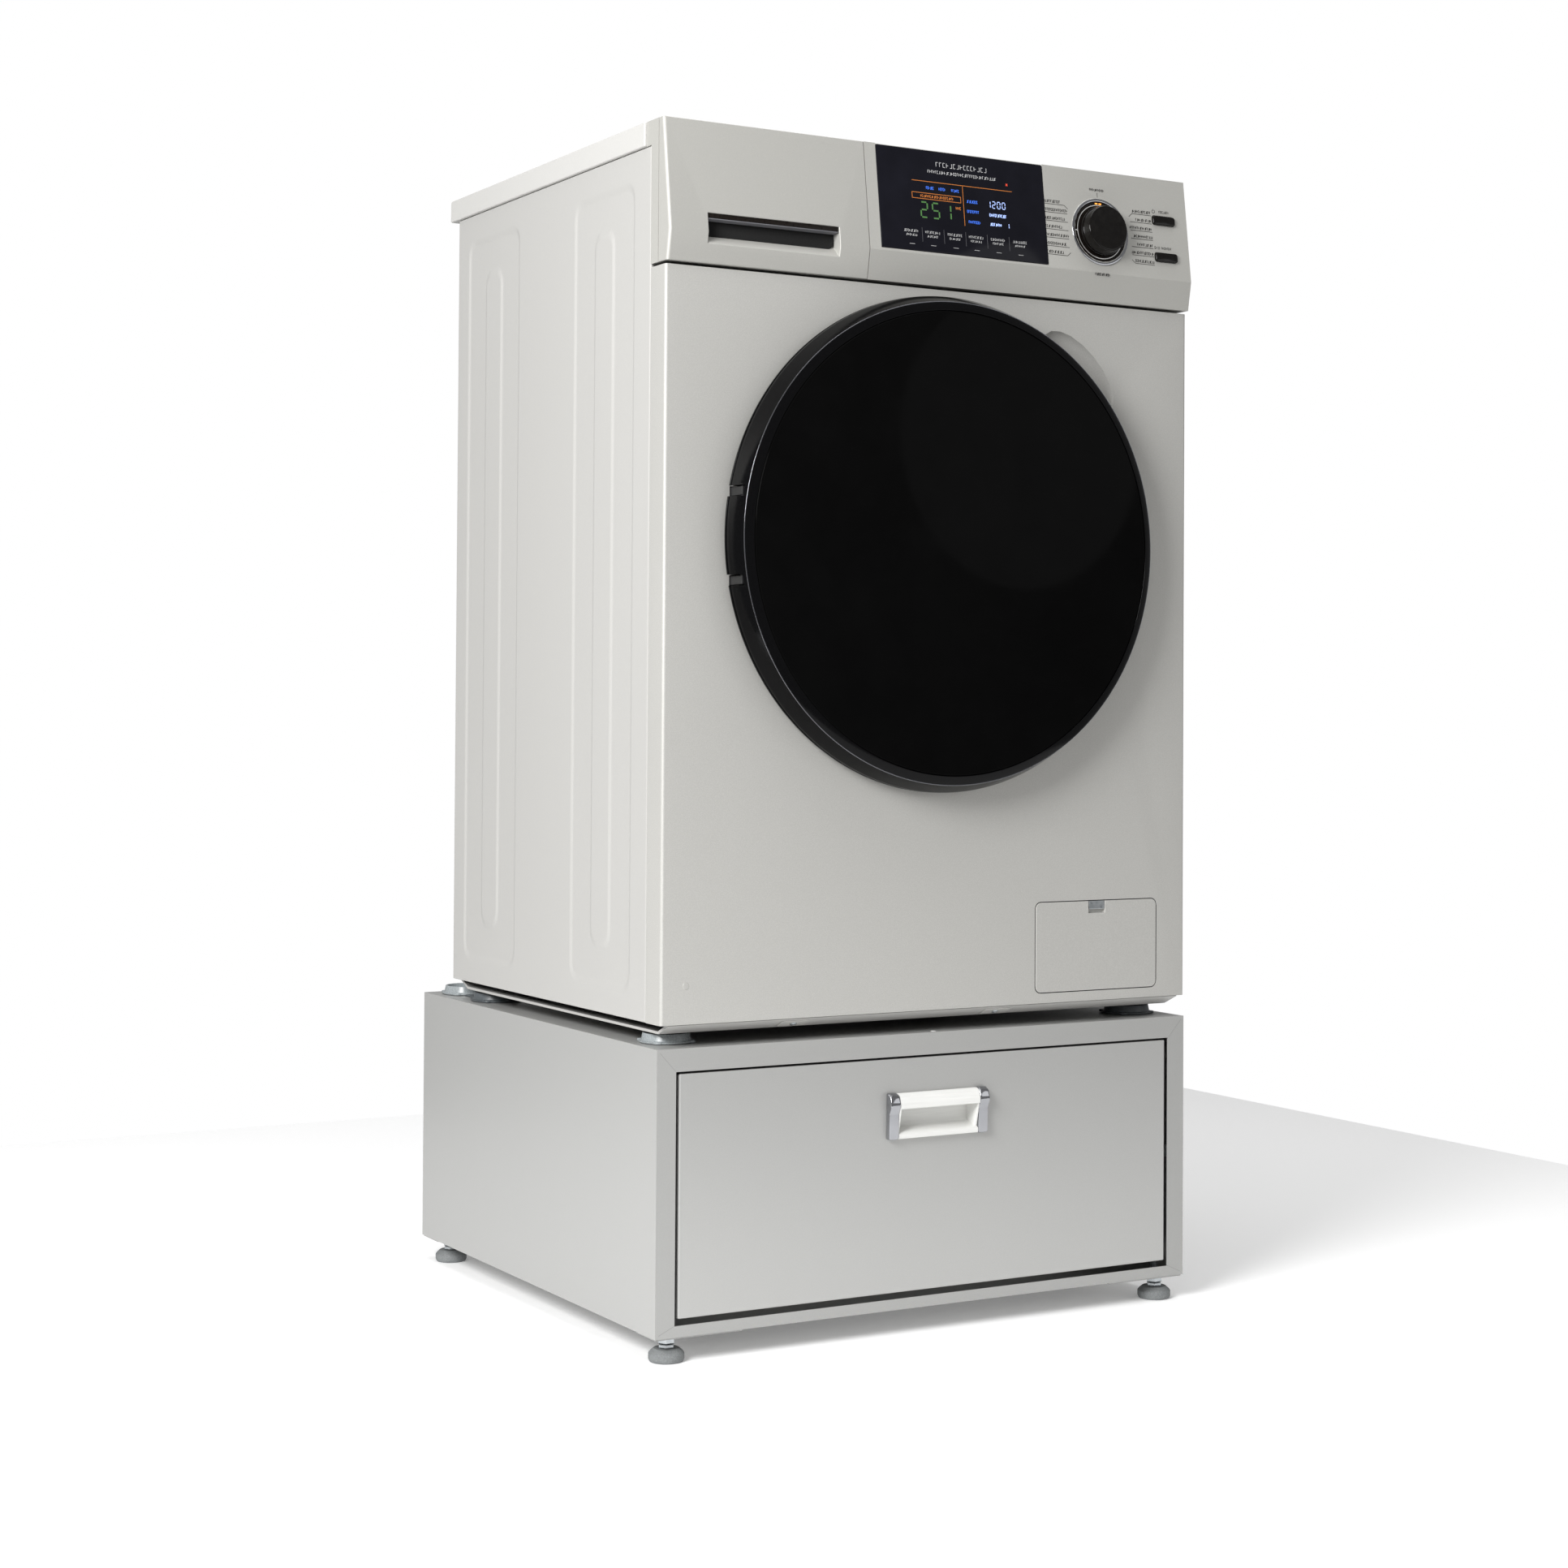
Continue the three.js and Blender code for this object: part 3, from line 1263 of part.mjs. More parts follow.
function drum() {
  const lip = drumMouthRadius;
  const shell = turned('y', [
    [0, drumBack - drumSheet], [drumRadius - drumSheet, drumBack - drumSheet],
    [drumRadius - drumSheet, drumFront + drumCorner + 1],
    [drumRadius - drumCorner - 1, drumFront + drumSheet],
    [lip, drumFront + drumSheet], [lip, drumFront], [drumRadius - drumCorner, drumFront],
    [drumRadius, drumFront + drumCorner],
    [drumRadius, drumBack], [0, drumBack],
  ], doorCentre, arcSteps);
  const root = drumRadius - drumSheet / 2;
  const rootCorner = Math.sqrt(root ** 2 - (lifterWidth / 2) ** 2);
  const lifters = [90, 210, 330].map((degrees) => {
    const outline = [
      [-lifterWidth / 2, rootCorner], [-lifterCrest / 2, root - lifterHeight],
      [lifterCrest / 2, root - lifterHeight], [lifterWidth / 2, rootCorner], [0, root],
    ];
    const turn = THREE.MathUtils.degToRad(degrees - 90);
    const turnedOutline = outline.map(([u, v]) => [
      u * Math.cos(turn) - v * Math.sin(turn),
      u * Math.sin(turn) + v * Math.cos(turn) + doorZ,
    ]);
    return extruded('y', turnedOutline, [drumFront + lifterInset, drumBack - drumSheet - lifterInset / 3]);
  });
  piece('drum', 'stainless', join(shell, ...lifters));
}

// Three-armed spider and shaft that carry the drum, with the nut that holds the pulley.
function drumShaft() {
  const front = drumBack + gap;
  const hub = rod('y', hubRadius - 4, [front, front + 10], doorCentre);
  const arms = [30, 150, 270].map((degrees) => {
    const geometry = new THREE.BoxGeometry(drumRadius - 20, spiderThickness, spiderWidth);
    geometry.translate((drumRadius - 20) / 2, front + spiderThickness / 2, 0);
    geometry.rotateY(-THREE.MathUtils.degToRad(degrees));
    geometry.translate(...doorCentre);
    return toSolid(geometry);
  });
  const shaft = rod('y', shaftRadius, [front + 9, pulleyY + pulleyWidth + 1], doorCentre, arcSteps);
  const nutFront = pulleyY + pulleyWidth;
  const nut = rod('y', shaftRadius + 6, [nutFront + gap, nutFront + 6], doorCentre, 6);
  piece('drum_shaft', 'castIron', join(hub, ...arms, shaft, nut));
}

function drumPulley() {
  const rim = turned('y', closed([
    [shaftRadius + gap, pulleyY], [pulleyRadius, pulleyY], [pulleyRadius, pulleyY + pulleyWidth],
    [pulleyRadius - 6, pulleyY + pulleyWidth], [pulleyRadius - 8, pulleyY + pulleyWeb],
    [shaftRadius + 9, pulleyY + pulleyWeb],
    [shaftRadius + 9, pulleyY + pulleyWidth], [shaftRadius + gap, pulleyY + pulleyWidth],
  ]), doorCentre, arcSteps);
  const windows = [0, 72, 144, 216, 288].map((degrees) => {
    const angle = THREE.MathUtils.degToRad(degrees);
    const reach = pulleyRadius * 0.56;
    const place = [reach * Math.cos(angle), 0, doorZ + reach * Math.sin(angle)];
    return rod('y', pulleyRadius * 0.22, [pulleyY - over, pulleyY + pulleyWeb + over], place, 8);
  });
  piece('drum_pulley', 'satinAluminium', cut(rim, ...windows));
}

// The belt's outline round both pulleys: two arcs joined by their outer tangents.
function beltOutline(grow) {
  const big = pulleyRadius + grow;
  const small = motorPulleyRadius + grow;
  const spread = Math.acos((big - small) / motorDistance);
  const shape = new THREE.Shape();
  shape.absarc(0, doorZ, big, motorRadians + spread, motorRadians + 2 * Math.PI - spread, false);
  shape.absarc(motorX, motorZ, small, motorRadians - spread, motorRadians + spread, false);
  return shape;
}

function driveBelt() {
  const low = pulleyY + (pulleyWidth - beltWidth) / 2;
  const y = [low, low + beltWidth];
  piece('drive_belt', 'darkRubber', cut(
    extruded('y', beltOutline(gap + beltThickness), y, 16),
    extruded('y', beltOutline(gap), [y[0] - over, y[1] + over], 16),
  ));
}

function driveMotor() {
  const back = pulleyY - 12;
  const front = back - motorLength;
  const can = rod('y', motorRadius, [front, back], motorCentre, 24);
  const feet = block(
    [motorX - motorFootHalf, motorX + motorFootHalf],
    [front + 20, back - 20],
    [motorZ + motorRadius - 20, doorZ - onTub(motorX + motorFootHalf)],
  );
  const tubRoom = rod('y', tubRadius + over, [front - over, back + over], doorCentre, arcSteps);
  const shaftEnd = back - motorShaftLength;
  const bore = rod('y', motorShaftRadius + play, [shaftEnd - 2, back + over], motorCentre);
  piece('drive_motor', 'greyPlastic', cut(join(can, feet), tubRoom, bore));
  const rotor = rod('y', motorShaftRadius, [shaftEnd, pulleyY + pulleyWidth], motorCentre);
  const grip = rod('y', motorPulleyRadius, [pulleyY - 2, pulleyY + pulleyWidth], motorCentre);
  piece('motor_pulley', 'stainless', join(rotor, grip));
}

function counterweight() {
  const back = tubFront - gap;
  piece('counterweight', 'castIron', turned('y', closed([
    [weightInnerRadius, back - weightThickness], [weightOuterRadius, back - weightThickness],
    [weightOuterRadius, back], [weightInnerRadius, back],
  ]), doorCentre, arcSteps));
}

// ---- Suspension ---------------------------------------------------------------------------

class Helix extends THREE.Curve {
  constructor(x, y, low, high) {
    super();
    this.place = [x, y, low, high];
  }

  getPoint(t, target = new THREE.Vector3()) {
    const [x, y, low, high] = this.place;
    const angle = t * springCoils * 2 * Math.PI;
    const radius = springRadius - springWire;
    return target.set(x + radius * Math.cos(angle), y + radius * Math.sin(angle), low + t * (high - low));
  }
}

function springs() {
  const wire = new THREE.Shape();
  wire.absarc(0, 0, springWire, 0, 2 * Math.PI);
  for (const [word, side] of sides) {
    const path = new Helix(side * springX, springY, springLow + springWire, springHigh - springWire);
    const steps = springCoils * 7;
    const geometry = new THREE.ExtrudeGeometry(wire, { steps, extrudePath: path, curveSegments: 2 });
    piece(`tub_spring_${word}`, 'zinc', toSolid(geometry));
  }
}

// A friction damper: a rod sliding in a tube, from a lug under the tub down to the base.
function dampers() {
  for (const [word, side] of sides) {
    const top = new THREE.Vector3(side * damperTopX, damperY, damperTopZ);
    const bottom = new THREE.Vector3(side * damperBottomX, damperY, damperBottomZ);
    const length = top.distanceTo(bottom);
    const geometry = new THREE.LatheGeometry([
      [0, 0], [damperRadius - 4, 0], [damperRadius, 8], [damperRadius, length * 0.6],
      [damperRodRadius, length * 0.6], [damperRodRadius, length], [0, length],
    ].map(([radius, along]) => new THREE.Vector2(radius, along)), 12);
    const turn = new THREE.Quaternion().setFromUnitVectors(axes.Y, top.clone().sub(bottom).normalize());
    geometry.applyQuaternion(turn);
    geometry.translate(bottom.x, bottom.y, bottom.z);
    piece(`tub_damper_${word}`, 'greyPlastic', toSolid(geometry));
  }
}

// ---- Water and drying air -----------------------------------------------------------------

function dryingDuct() {
  const right = halfCabinet - ductInset;
  const left = right - ductWidth;
  const front = panelTopDepth + ductSetBack;
  const high = cabinetHigh - 6;
  const duct = block([left, right], [front, front + ductLength], [high - ductHeight, high]);
  const fanPlace = [left + fanRadius + 6, front + ductLength, 0];
  const fan = rod('z', fanRadius, [high - ductHeight - 6, high - 2], fanPlace, dialSteps);
  const tubRoom = rod('y', tubRadius + tubFlange + 4, [0, cabinetBack], doorCentre, arcSteps);
  const springRoom = block(
    [springX - springRadius - 6, halfCabinet],
    [springY - hangerHalf - 6, springY + hangerHalf + 6],
    [springLow, cabinetHigh],
  );
  piece('drying_duct', 'satinAluminium', cut(join(duct, fan), tubRoom, springRoom));
}

function waterInlet() {
  const inside = cabinetBack - sheet - gap;
  const outside = cabinetBack + inletReach;
  const body = block(
    [inletPlaces[0] - 16, inletPlaces[1] + 16],
    [inside - valveDepth, inside],
    [inletZ - 18, inletZ + 18],
  );
  const ports = inletPlaces.map((x) => rod('y', inletRadius, [inside - over, outside], [x, 0, inletZ]));
  const bores = inletPlaces.map((x) => rod(
    'y',
    inletRadius - 3,
    [cabinetBack, outside + over],
    [x, 0, inletZ],
  ));
  piece('inlet_valve', 'tubPlastic', cut(join(body, ...ports), ...bores));
}

function drainPump() {
  const place = [filterX, 0, filterZ];
  const back = chamberFront + filterLength + 6;
  const chamber = rod('y', filterRadius + filterRoom + chamberWall, [chamberFront, back], place, turnSteps);
  const motor = rod('y', pumpMotorRadius, [back - over, back + pumpMotorLength], place, turnSteps);
  const foot = block(
    [filterX - 24, filterX + 24],
    [chamberFront + 20, back],
    [baseLow + baseSheet + gap, filterZ],
  );
  const bore = rod('y', filterRadius + filterRoom, [
    chamberFront - over, chamberFront + filterLength + 1,
  ], place, turnSteps);
  piece('drain_pump', 'tubPlastic', cut(join(chamber, motor, foot), bore));
}

function pumpFilter() {
  const place = [filterX, 0, filterZ];
  const knobBack = filterFront + filterKnobDepth;
  const back = chamberFront + filterLength;
  const cap = rod('y', filterRadius + filterFlange, [knobBack - 3, chamberFront - gap], place, turnSteps);
  const grip = block(
    [filterX - filterGripHalf, filterX + filterGripHalf],
    [filterFront, knobBack],
    [filterZ - 4, filterZ + 4],
  );
  const basket = cut(
    rod('y', filterRadius, [chamberFront - 2, back], place, turnSteps),
    rod('y', filterRadius - 4, [chamberFront + 6, back + over], place, turnSteps),
  );
  piece('pump_filter', 'greyPlastic', join(cap, grip, basket));
}

function filterFlap() {
  const outline = roundedRectangle(
    [flapLeft + flapGap, flapRight - flapGap],
    [flapLow + flapGap, flapHigh - flapGap],
    flapCorner - flapGap,
  );
  const front = cabinetFront - flapProud;
  const plate = extruded('y', outline, [front, front + flapThickness]);
  const hollow = block(
    [flapLeft + flapWall, flapRight - flapWall],
    [front + flapSkin, front + flapThickness + over],
    [flapLow + flapWall, flapHigh - latchHeight - latchTravel - latchRoom],
  );
  const latchHalf = latchWidth / 2;
  const latchLow = flapHigh - flapGap - latchHeight;
  const slot = block(
    [filterX - latchHalf - gap, filterX + latchHalf + gap],
    [front - over, front + latchThickness + gap],
    [latchLow - latchTravel - 2 * gap, flapHigh + over],
  );
  piece('filter_flap', 'frontSteel', cut(plate, hollow, slot));
  piece('flap_latch', 'zinc', block(
    [filterX - latchHalf, filterX + latchHalf],
    [front, front + latchThickness],
    [latchLow, flapHigh - flapGap],
  ));
}

// ---- Build --------------------------------------------------------------------------------

pedestalShell();
pedestalFeet();
slideRails();
pedestalDrawer();
drawerPull();
footCups();
washerFeet();
washerBase();
sidePanels();
rearPanel();
frontPanel();
topCover();
controlPanel();
displayWindow();
programKnob();
buttons();
controlBoard();
detergentDrawer();
dispenserHousing();
doorRing();
doorGlass();
doorInnerFrame();
doorBowl();
doorHook();
doorHinge();
doorGasket();
tubHalves();
drum();
drumShaft();
drumPulley();
driveBelt();
driveMotor();
counterweight();
springs();
dampers();
dryingDuct();
waterInlet();
drainPump();
pumpFilter();
filterFlap();

// The origin is the middle of the footprint on the floor, from the door glass to the case's back.
const part = new THREE.Group();
part.add(assembly);
assembly.position.y = -(doorFront + caseDepth) / 2;

export default part;
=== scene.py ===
import math
import bmesh
import bpy
import numpy as np
from mathutils import Matrix, Vector


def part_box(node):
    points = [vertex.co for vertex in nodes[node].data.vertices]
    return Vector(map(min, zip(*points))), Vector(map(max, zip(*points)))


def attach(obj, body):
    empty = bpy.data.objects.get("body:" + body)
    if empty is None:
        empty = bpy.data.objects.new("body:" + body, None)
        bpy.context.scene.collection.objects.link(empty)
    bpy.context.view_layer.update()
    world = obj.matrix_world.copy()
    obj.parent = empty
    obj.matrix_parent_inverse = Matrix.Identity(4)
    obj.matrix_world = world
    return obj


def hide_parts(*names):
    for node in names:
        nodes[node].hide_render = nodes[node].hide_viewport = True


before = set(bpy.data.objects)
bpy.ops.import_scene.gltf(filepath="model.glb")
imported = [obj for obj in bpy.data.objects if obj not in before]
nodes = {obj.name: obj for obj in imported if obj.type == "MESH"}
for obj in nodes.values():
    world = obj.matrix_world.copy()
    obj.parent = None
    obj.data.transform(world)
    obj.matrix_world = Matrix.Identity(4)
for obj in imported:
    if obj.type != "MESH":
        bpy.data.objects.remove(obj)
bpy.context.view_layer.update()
print("frame loaded:", len(nodes), "CAD nodes")

mm = 0.001  # every length in a dictionary below is in millimetres


# Lowest and highest corner of a CAD node, in millimetres.
def place(node):
    low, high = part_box(node)
    return np.array(low) / mm, np.array(high) / mm


# colours and nodes

# An sRGB hex colour as linear red, green, blue and alpha.
def linear(hexColour):
    parts = [int(hexColour[i:i + 2], 16) / 255 for i in (1, 3, 5)]
    return [p / 12.92 if p <= 0.04045 else ((p + 0.055) / 1.055) ** 2.4 for p in parts] + [1.0]


# Adds a node, sets its settings, and links or sets each input: a socket links, a value is set.
def addNode(tree, kind, inputs=None, **settings):
    node = tree.nodes.new(kind)
    for name, value in settings.items():
        setattr(node, name, value)
    for socket, value in (inputs or {}).items():
        if isinstance(value, bpy.types.NodeSocket):
            tree.links.new(value, node.inputs[socket])
        else:
            node.inputs[socket].default_value = value
    return node


# A surface of two near colours mixed by a fine grain and a slow drift, with its own gloss variation
# and a shallow bump from the same grain. grain and drift are sizes in mm, stretch pulls the grain
# along an axis, bump is the height in mm.
def surface(name, look):
    material = bpy.data.materials.new(name)
    material.use_nodes = True
    tree = material.node_tree
    tree.nodes.clear()
    where = addNode(tree, "ShaderNodeTexCoord")
    stretched = addNode(tree, "ShaderNodeMapping", {
        "Vector": where.outputs["Object"],
        "Scale": look.get("stretch", (1, 1, 1)),
    })
    grain = addNode(tree, "ShaderNodeTexNoise", {
        "Vector": stretched.outputs["Vector"],
        "Scale": 1 / (look["grain"] * mm),
        "Detail": 2.0,
        "Roughness": 0.6,
    })
    drift = addNode(tree, "ShaderNodeTexNoise", {
        "Vector": where.outputs["Object"],
        "Scale": 1 / (look.get("drift", 180) * mm),
        "Detail": 1.0,
    })
    both = addNode(tree, "ShaderNodeMath", {
        0: drift.outputs["Fac"],
        1: look.get("driftShare", 0.35),
        2: grain.outputs["Fac"],
    }, operation="MULTIPLY_ADD")
    colours = addNode(tree, "ShaderNodeValToRGB", {"Fac": both.outputs["Value"]})
    ramp = colours.color_ramp
    ramp.elements[0].position = 0.45
    ramp.elements[0].color = linear(look["dark"])
    ramp.elements[1].position = 0.9
    ramp.elements[1].color = linear(look["light"])
    gloss = addNode(tree, "ShaderNodeMapRange", {
        "Value": grain.outputs["Fac"],
        "From Min": 0.3,
        "From Max": 0.7,
        "To Min": look["rough"][0],
        "To Max": look["rough"][1],
    })
    bump = addNode(tree, "ShaderNodeBump", {
        "Height": grain.outputs["Fac"],
        "Strength": look.get("bumpStrength", 0.5),
        "Distance": look.get("bump", 0.02) * mm,
    })
    shader = addNode(tree, "ShaderNodeBsdfPrincipled", {
        "Base Color": colours.outputs["Color"],
        "Roughness": gloss.outputs["Result"],
        "Normal": bump.outputs["Normal"],
        "Metallic": look.get("metallic", 0.0),
    })
    for socket in ("IOR", "Coat Weight", "Coat Roughness", "Specular IOR Level", "Transmission Weight",
                   "Emission Strength", "Anisotropic"):
        if socket in look:
            shader.inputs[socket].default_value = look[socket]
    if "glow" in look:
        shader.inputs["Emission Color"].default_value = linear(look["glow"])
    addNode(tree, "ShaderNodeOutputMaterial", {"Surface": shader.outputs["BSDF"]})
    return material


# silver powder coat: a satin grey whose metal flakes read as a fine speckle
silverPaint = surface("silver powder coated steel", {
    "dark": "#bab9b5", "light": "#cac9c5", "grain": 0.9, "driftShare": 0.1, "rough": (0.5, 0.64),
    "metallic": 0.35, "Specular IOR Level": 0.2, "bump": 0.03, "bumpStrength": 0.35,
})
# smoother silver paint of the pedestal drawer, without visible flakes
drawerPaint = surface("satin silver painted steel", {
    "dark": "#b5b5b3", "light": "#bbbbb9", "grain": 0.8, "driftShare": 0.1, "rough": (0.3, 0.36),
    "metallic": 0.4, "bump": 0.01, "bumpStrength": 0.15,
})
# pale grey powder coat of the cabinet sides and the pedestal case: soft sheen, faint orange peel
casePaint = surface("pale grey powder coated steel", {
    "dark": "#b2b1ae", "light": "#b6b5b2", "grain": 1.6, "driftShare": 0.1, "rough": (0.34, 0.4),
    "metallic": 0.0, "bump": 0.01, "bumpStrength": 0.1,
})
# the pedestal's own coat: a little darker and smoother than the cabinet's, with a slight sheen
pedestalPaint = surface("smooth grey powder coated steel", {
    "dark": "#a4a4a2", "light": "#a8a8a6", "grain": 1.4, "driftShare": 0.1, "rough": (0.3, 0.36),
    "metallic": 0.1, "bump": 0.01, "bumpStrength": 0.1,
})
# moulded ABS sprayed silver: satin, warmer than the steel
panelPaint = surface("silver painted ABS", {
    "dark": "#b3b2ad", "light": "#bbbab5", "grain": 0.9, "driftShare": 0.1, "rough": (0.5, 0.6),
    "metallic": 0.25, "bump": 0.01, "bumpStrength": 0.2,
})
# laminate worktop: fine pearl texture, satin
laminate = surface("pale laminate", {
    "dark": "#c0bfbc", "light": "#c6c5c2", "grain": 1.6, "driftShare": 0.1, "rough": (0.4, 0.5), "bump": 0.01,
})
# black back-printed glass: almost no colour, a clean mirror only at a glancing angle
blackGlass = surface("black back printed glass", {
    "dark": "#080808", "light": "#0a0a0a", "grain": 40, "rough": (0.04, 0.07), "IOR": 1.45,
    "Specular IOR Level": 0.02, "bump": 0.002,
})
# dark chrome rings on the door trim's shoulder and base, put where its thin highlight lines show: partly
# painted highlight, partly the real gleam of polished metal
highlightChrome = surface("polished black chrome", {
    "dark": "#7c7d82", "light": "#8a8b90", "grain": 30, "rough": (0.1, 0.16), "metallic": 1.0, "bump": 0.003,
})
# piano black ABS of the knob and buttons: deep, glossy, faint moulding waves
glossBlack = surface("gloss black ABS", {
    "dark": "#0b0908", "light": "#100e0c", "grain": 6, "rough": (0.1, 0.2), "IOR": 1.5,
    "Specular IOR Level": 0.25, "bump": 0.01,
})
# satin black ABS of the door trim: soft violet grey sheen
trimBlack = surface("satin black ABS", {
    "dark": "#040405", "light": "#070708", "grain": 2, "rough": (0.08, 0.16), "IOR": 1.5,
    "Specular IOR Level": 0.14, "bump": 0.006,
})
# unpainted black ABS inside the door and on the hinge
innerBlack = surface("matt black ABS", {
    "dark": "#161617", "light": "#1d1d1e", "grain": 0.8, "rough": (0.45, 0.6), "bump": 0.03,
})
# chrome plate on the bezel and the pull's ends: a bright, clean mirror
chrome = surface("chrome plate", {
    "dark": "#9fa0a4", "light": "#adaeb2", "grain": 30, "rough": (0.05, 0.1), "metallic": 1.0, "bump": 0.004,
})
# satin anodised aluminium: fine lines along X
satinAluminium = surface("satin anodised aluminium", {
    "dark": "#dcdcda", "light": "#e8e8e6", "grain": 3, "stretch": (0.04, 1, 1), "rough": (0.26, 0.36),
    "metallic": 0.75, "bump": 0.01, "bumpStrength": 0.2,
})
# zinc plate: cool grey, slightly cloudy
zincPlate = surface("zinc plated steel", {
    "dark": "#aab0b4", "light": "#c8ccce", "grain": 5, "drift": 15, "rough": (0.25, 0.4), "metallic": 1.0,
    "bump": 0.01,
})
# stainless steel of the drum: brushed round its length
stainless = surface("brushed stainless steel", {
    "dark": "#b4b5b6", "light": "#cfd0d0", "grain": 2, "stretch": (1, 0.05, 1), "rough": (0.2, 0.34),
    "metallic": 1.0, "bump": 0.01, "bumpStrength": 0.2,
})
# EPDM rubber: matt mid grey with a dusty bloom
greyRubber = surface("grey EPDM rubber", {
    "dark": "#6d7071", "light": "#858888", "grain": 1.2, "drift": 12, "rough": (0.6, 0.8), "bump": 0.05,
})
# black rubber of the feet and the belt: matt, faintly grainy
blackRubber = surface("black rubber", {
    "dark": "#1a1a1a", "light": "#262626", "grain": 1.2, "rough": (0.6, 0.8), "bump": 0.05,
})
# glass filled polypropylene of the foot cups: dark, slightly shiny
cupPlastic = surface("moulded dark polypropylene", {
    "dark": "#4c5154", "light": "#5c6164", "grain": 1.5, "rough": (0.3, 0.45), "bump": 0.02,
})
# the same moulding in an unfilled grey: lighter and glossier
paleCupPlastic = surface("moulded grey polypropylene", {
    "dark": "#8d9395", "light": "#a0a6a8", "grain": 1.5, "rough": (0.2, 0.35), "bump": 0.02,
})
# glass filled polypropylene of the tub: milky, matt, with a coarse grain
tubPlastic = surface("glass filled polypropylene", {
    "dark": "#c2c2bc", "light": "#d4d4ce", "grain": 1.5, "rough": (0.5, 0.65), "bump": 0.04,
})
# moulded grey nylon: satin, faintly pitted
greyPlastic = surface("grey nylon", {
    "dark": "#4a4d50", "light": "#5a5d60", "grain": 1.2, "rough": (0.45, 0.6), "bump": 0.03,
})
# sand cast iron: dark, rough and pitted
castIron = surface("cast iron", {
    "dark": "#4f4f50", "light": "#68686a", "grain": 1.8, "rough": (0.6, 0.8), "metallic": 0.5, "bump": 0.15,
})
# solder mask over copper: green, with a soft gloss
circuitBoard = surface("green solder mask", {
    "dark": "#235a31", "light": "#2f6e3e", "grain": 4, "rough": (0.3, 0.45), "bump": 0.02,
})
# pressed soda glass of the door bowl
bowlGlass = surface("pressed soda glass", {
    "dark": "#f0f4f4", "light": "#f8fafa", "grain": 60, "rough": (0.02, 0.05), "IOR": 1.5,
    "Transmission Weight": 1.0, "bump": 0.05, "bumpStrength": 0.2,
})
# screen printed ink: flat and matt, on the panel in dark grey, on the display in white and grey
darkPrint = surface("dark grey screen print", {
    "dark": "#1c1a18", "light": "#2a2826", "grain": 0.8, "rough": (0.5, 0.6), "bump": 0.004,
})
whitePrint = surface("white screen print", {
    "dark": "#bdbdbd", "light": "#d2d2d2", "grain": 0.8, "rough": (0.5, 0.6), "bump": 0.004,
})
greyPrint = surface("grey screen print", {
    "dark": "#5c5c60", "light": "#6c6c70", "grain": 0.8, "rough": (0.5, 0.6), "bump": 0.004,
})
# tinted acrylic of the display: near black with a blue cast
displayGlass = surface("tinted acrylic", {
    "dark": "#121218", "light": "#17171e", "grain": 30, "rough": (0.06, 0.1), "IOR": 1.49,
    "Specular IOR Level": 0.12, "bump": 0.002,
})
# the dial's dish: brown black satin ABS
dialBlack = surface("satin brown black ABS", {
    "dark": "#15110f", "light": "#1c1815", "grain": 2, "rough": (0.25, 0.35), "Specular IOR Level": 0.15,
    "bump": 0.01,
})
# lit segments behind the acrylic: each gives off its own colour, slightly uneven
glows = {}
for name, colour, strength in (
    ("amber", "#a9642a", 0.55), ("blue", "#3460c4", 0.9), ("green", "#46703c", 0.3),
    ("white", "#9db2e6", 0.9), ("red", "#c4402c", 1.0), ("orange", "#ff9a3c", 1.6),
):
    glows[name] = surface(name + " lit segment", {
        "dark": colour, "light": colour, "grain": 3, "rough": (0.3, 0.4), "glow": colour,
        "Emission Strength": strength, "bump": 0.002,
    })
displayAmber, displayBlue, displayGreen = glows["amber"], glows["blue"], glows["green"]
displayWhite, displayRed, displayOrange = glows["white"], glows["red"], glows["orange"]
# white painted aluminium of the pull: nearly white, satin
pullAluminium = surface("white anodised aluminium", {
    "dark": "#e2e2df", "light": "#eaeae7", "grain": 2, "stretch": (0.05, 1, 1), "rough": (0.28, 0.38),
    "metallic": 0.05, "bump": 0.01, "bumpStrength": 0.2,
})
# white nylon of the rivet: clean satin
whitePlastic = surface("white nylon", {
    "dark": "#e2e2e0", "light": "#ececea", "grain": 1, "rough": (0.4, 0.5), "bump": 0.01,
})
# paint drawn into a mitre seam: a thin, slightly darker line
seamShade = surface("paint line in a seam", {
    "dark": "#8c8c8a", "light": "#949492", "grain": 2, "rough": (0.6, 0.7), "bump": 0.01,
})
# seamless backdrop paper: matt white, lifted slightly so that it doesn't grey at the edges
floorPaper = surface("white backdrop paper", {
    "dark": "#f7f7f7", "light": "#fbfbfb", "grain": 8, "drift": 900, "rough": (0.7, 0.8), "bump": 0.02,
    "glow": "#ffffff", "Emission Strength": 0.15,
})
# painted shade: a flat near black that stands in for the shadow inside a gap or hole, no gloss
shadowGap = surface("painted shadow in a gap", {
    "dark": "#0b0b0b", "light": "#121212", "grain": 2, "rough": (0.8, 0.9), "bump": 0.01,
})
print("materials made:", len(bpy.data.materials))


# numpy surfaces

# Shades the piece smooth with hard edges past an angle, and says what it rides on and replaces.
def finish(piece, body, material, replaced=(), smooth=35):
    mesh = piece.data
    mesh.polygons.foreach_set("use_smooth", np.ones(len(mesh.polygons), bool))
    mesh.set_sharp_from_angle(angle=math.radians(smooth))
    if not mesh.materials:
        mesh.materials.append(material)
    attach(piece, body)
    if replaced:
        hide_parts(*replaced)
    return piece


# An object from points in mm and faces as lists of indices.
def makeMesh(name, points, faces):
    mesh = bpy.data.meshes.new(name)
    mesh.from_pydata((np.asarray(points) * mm).tolist(), [], [list(map(int, f)) for f in faces])
    mesh.validate()
    mesh.update()
    piece = bpy.data.objects.new(name, mesh)
    bpy.context.scene.collection.objects.link(piece)
    return piece


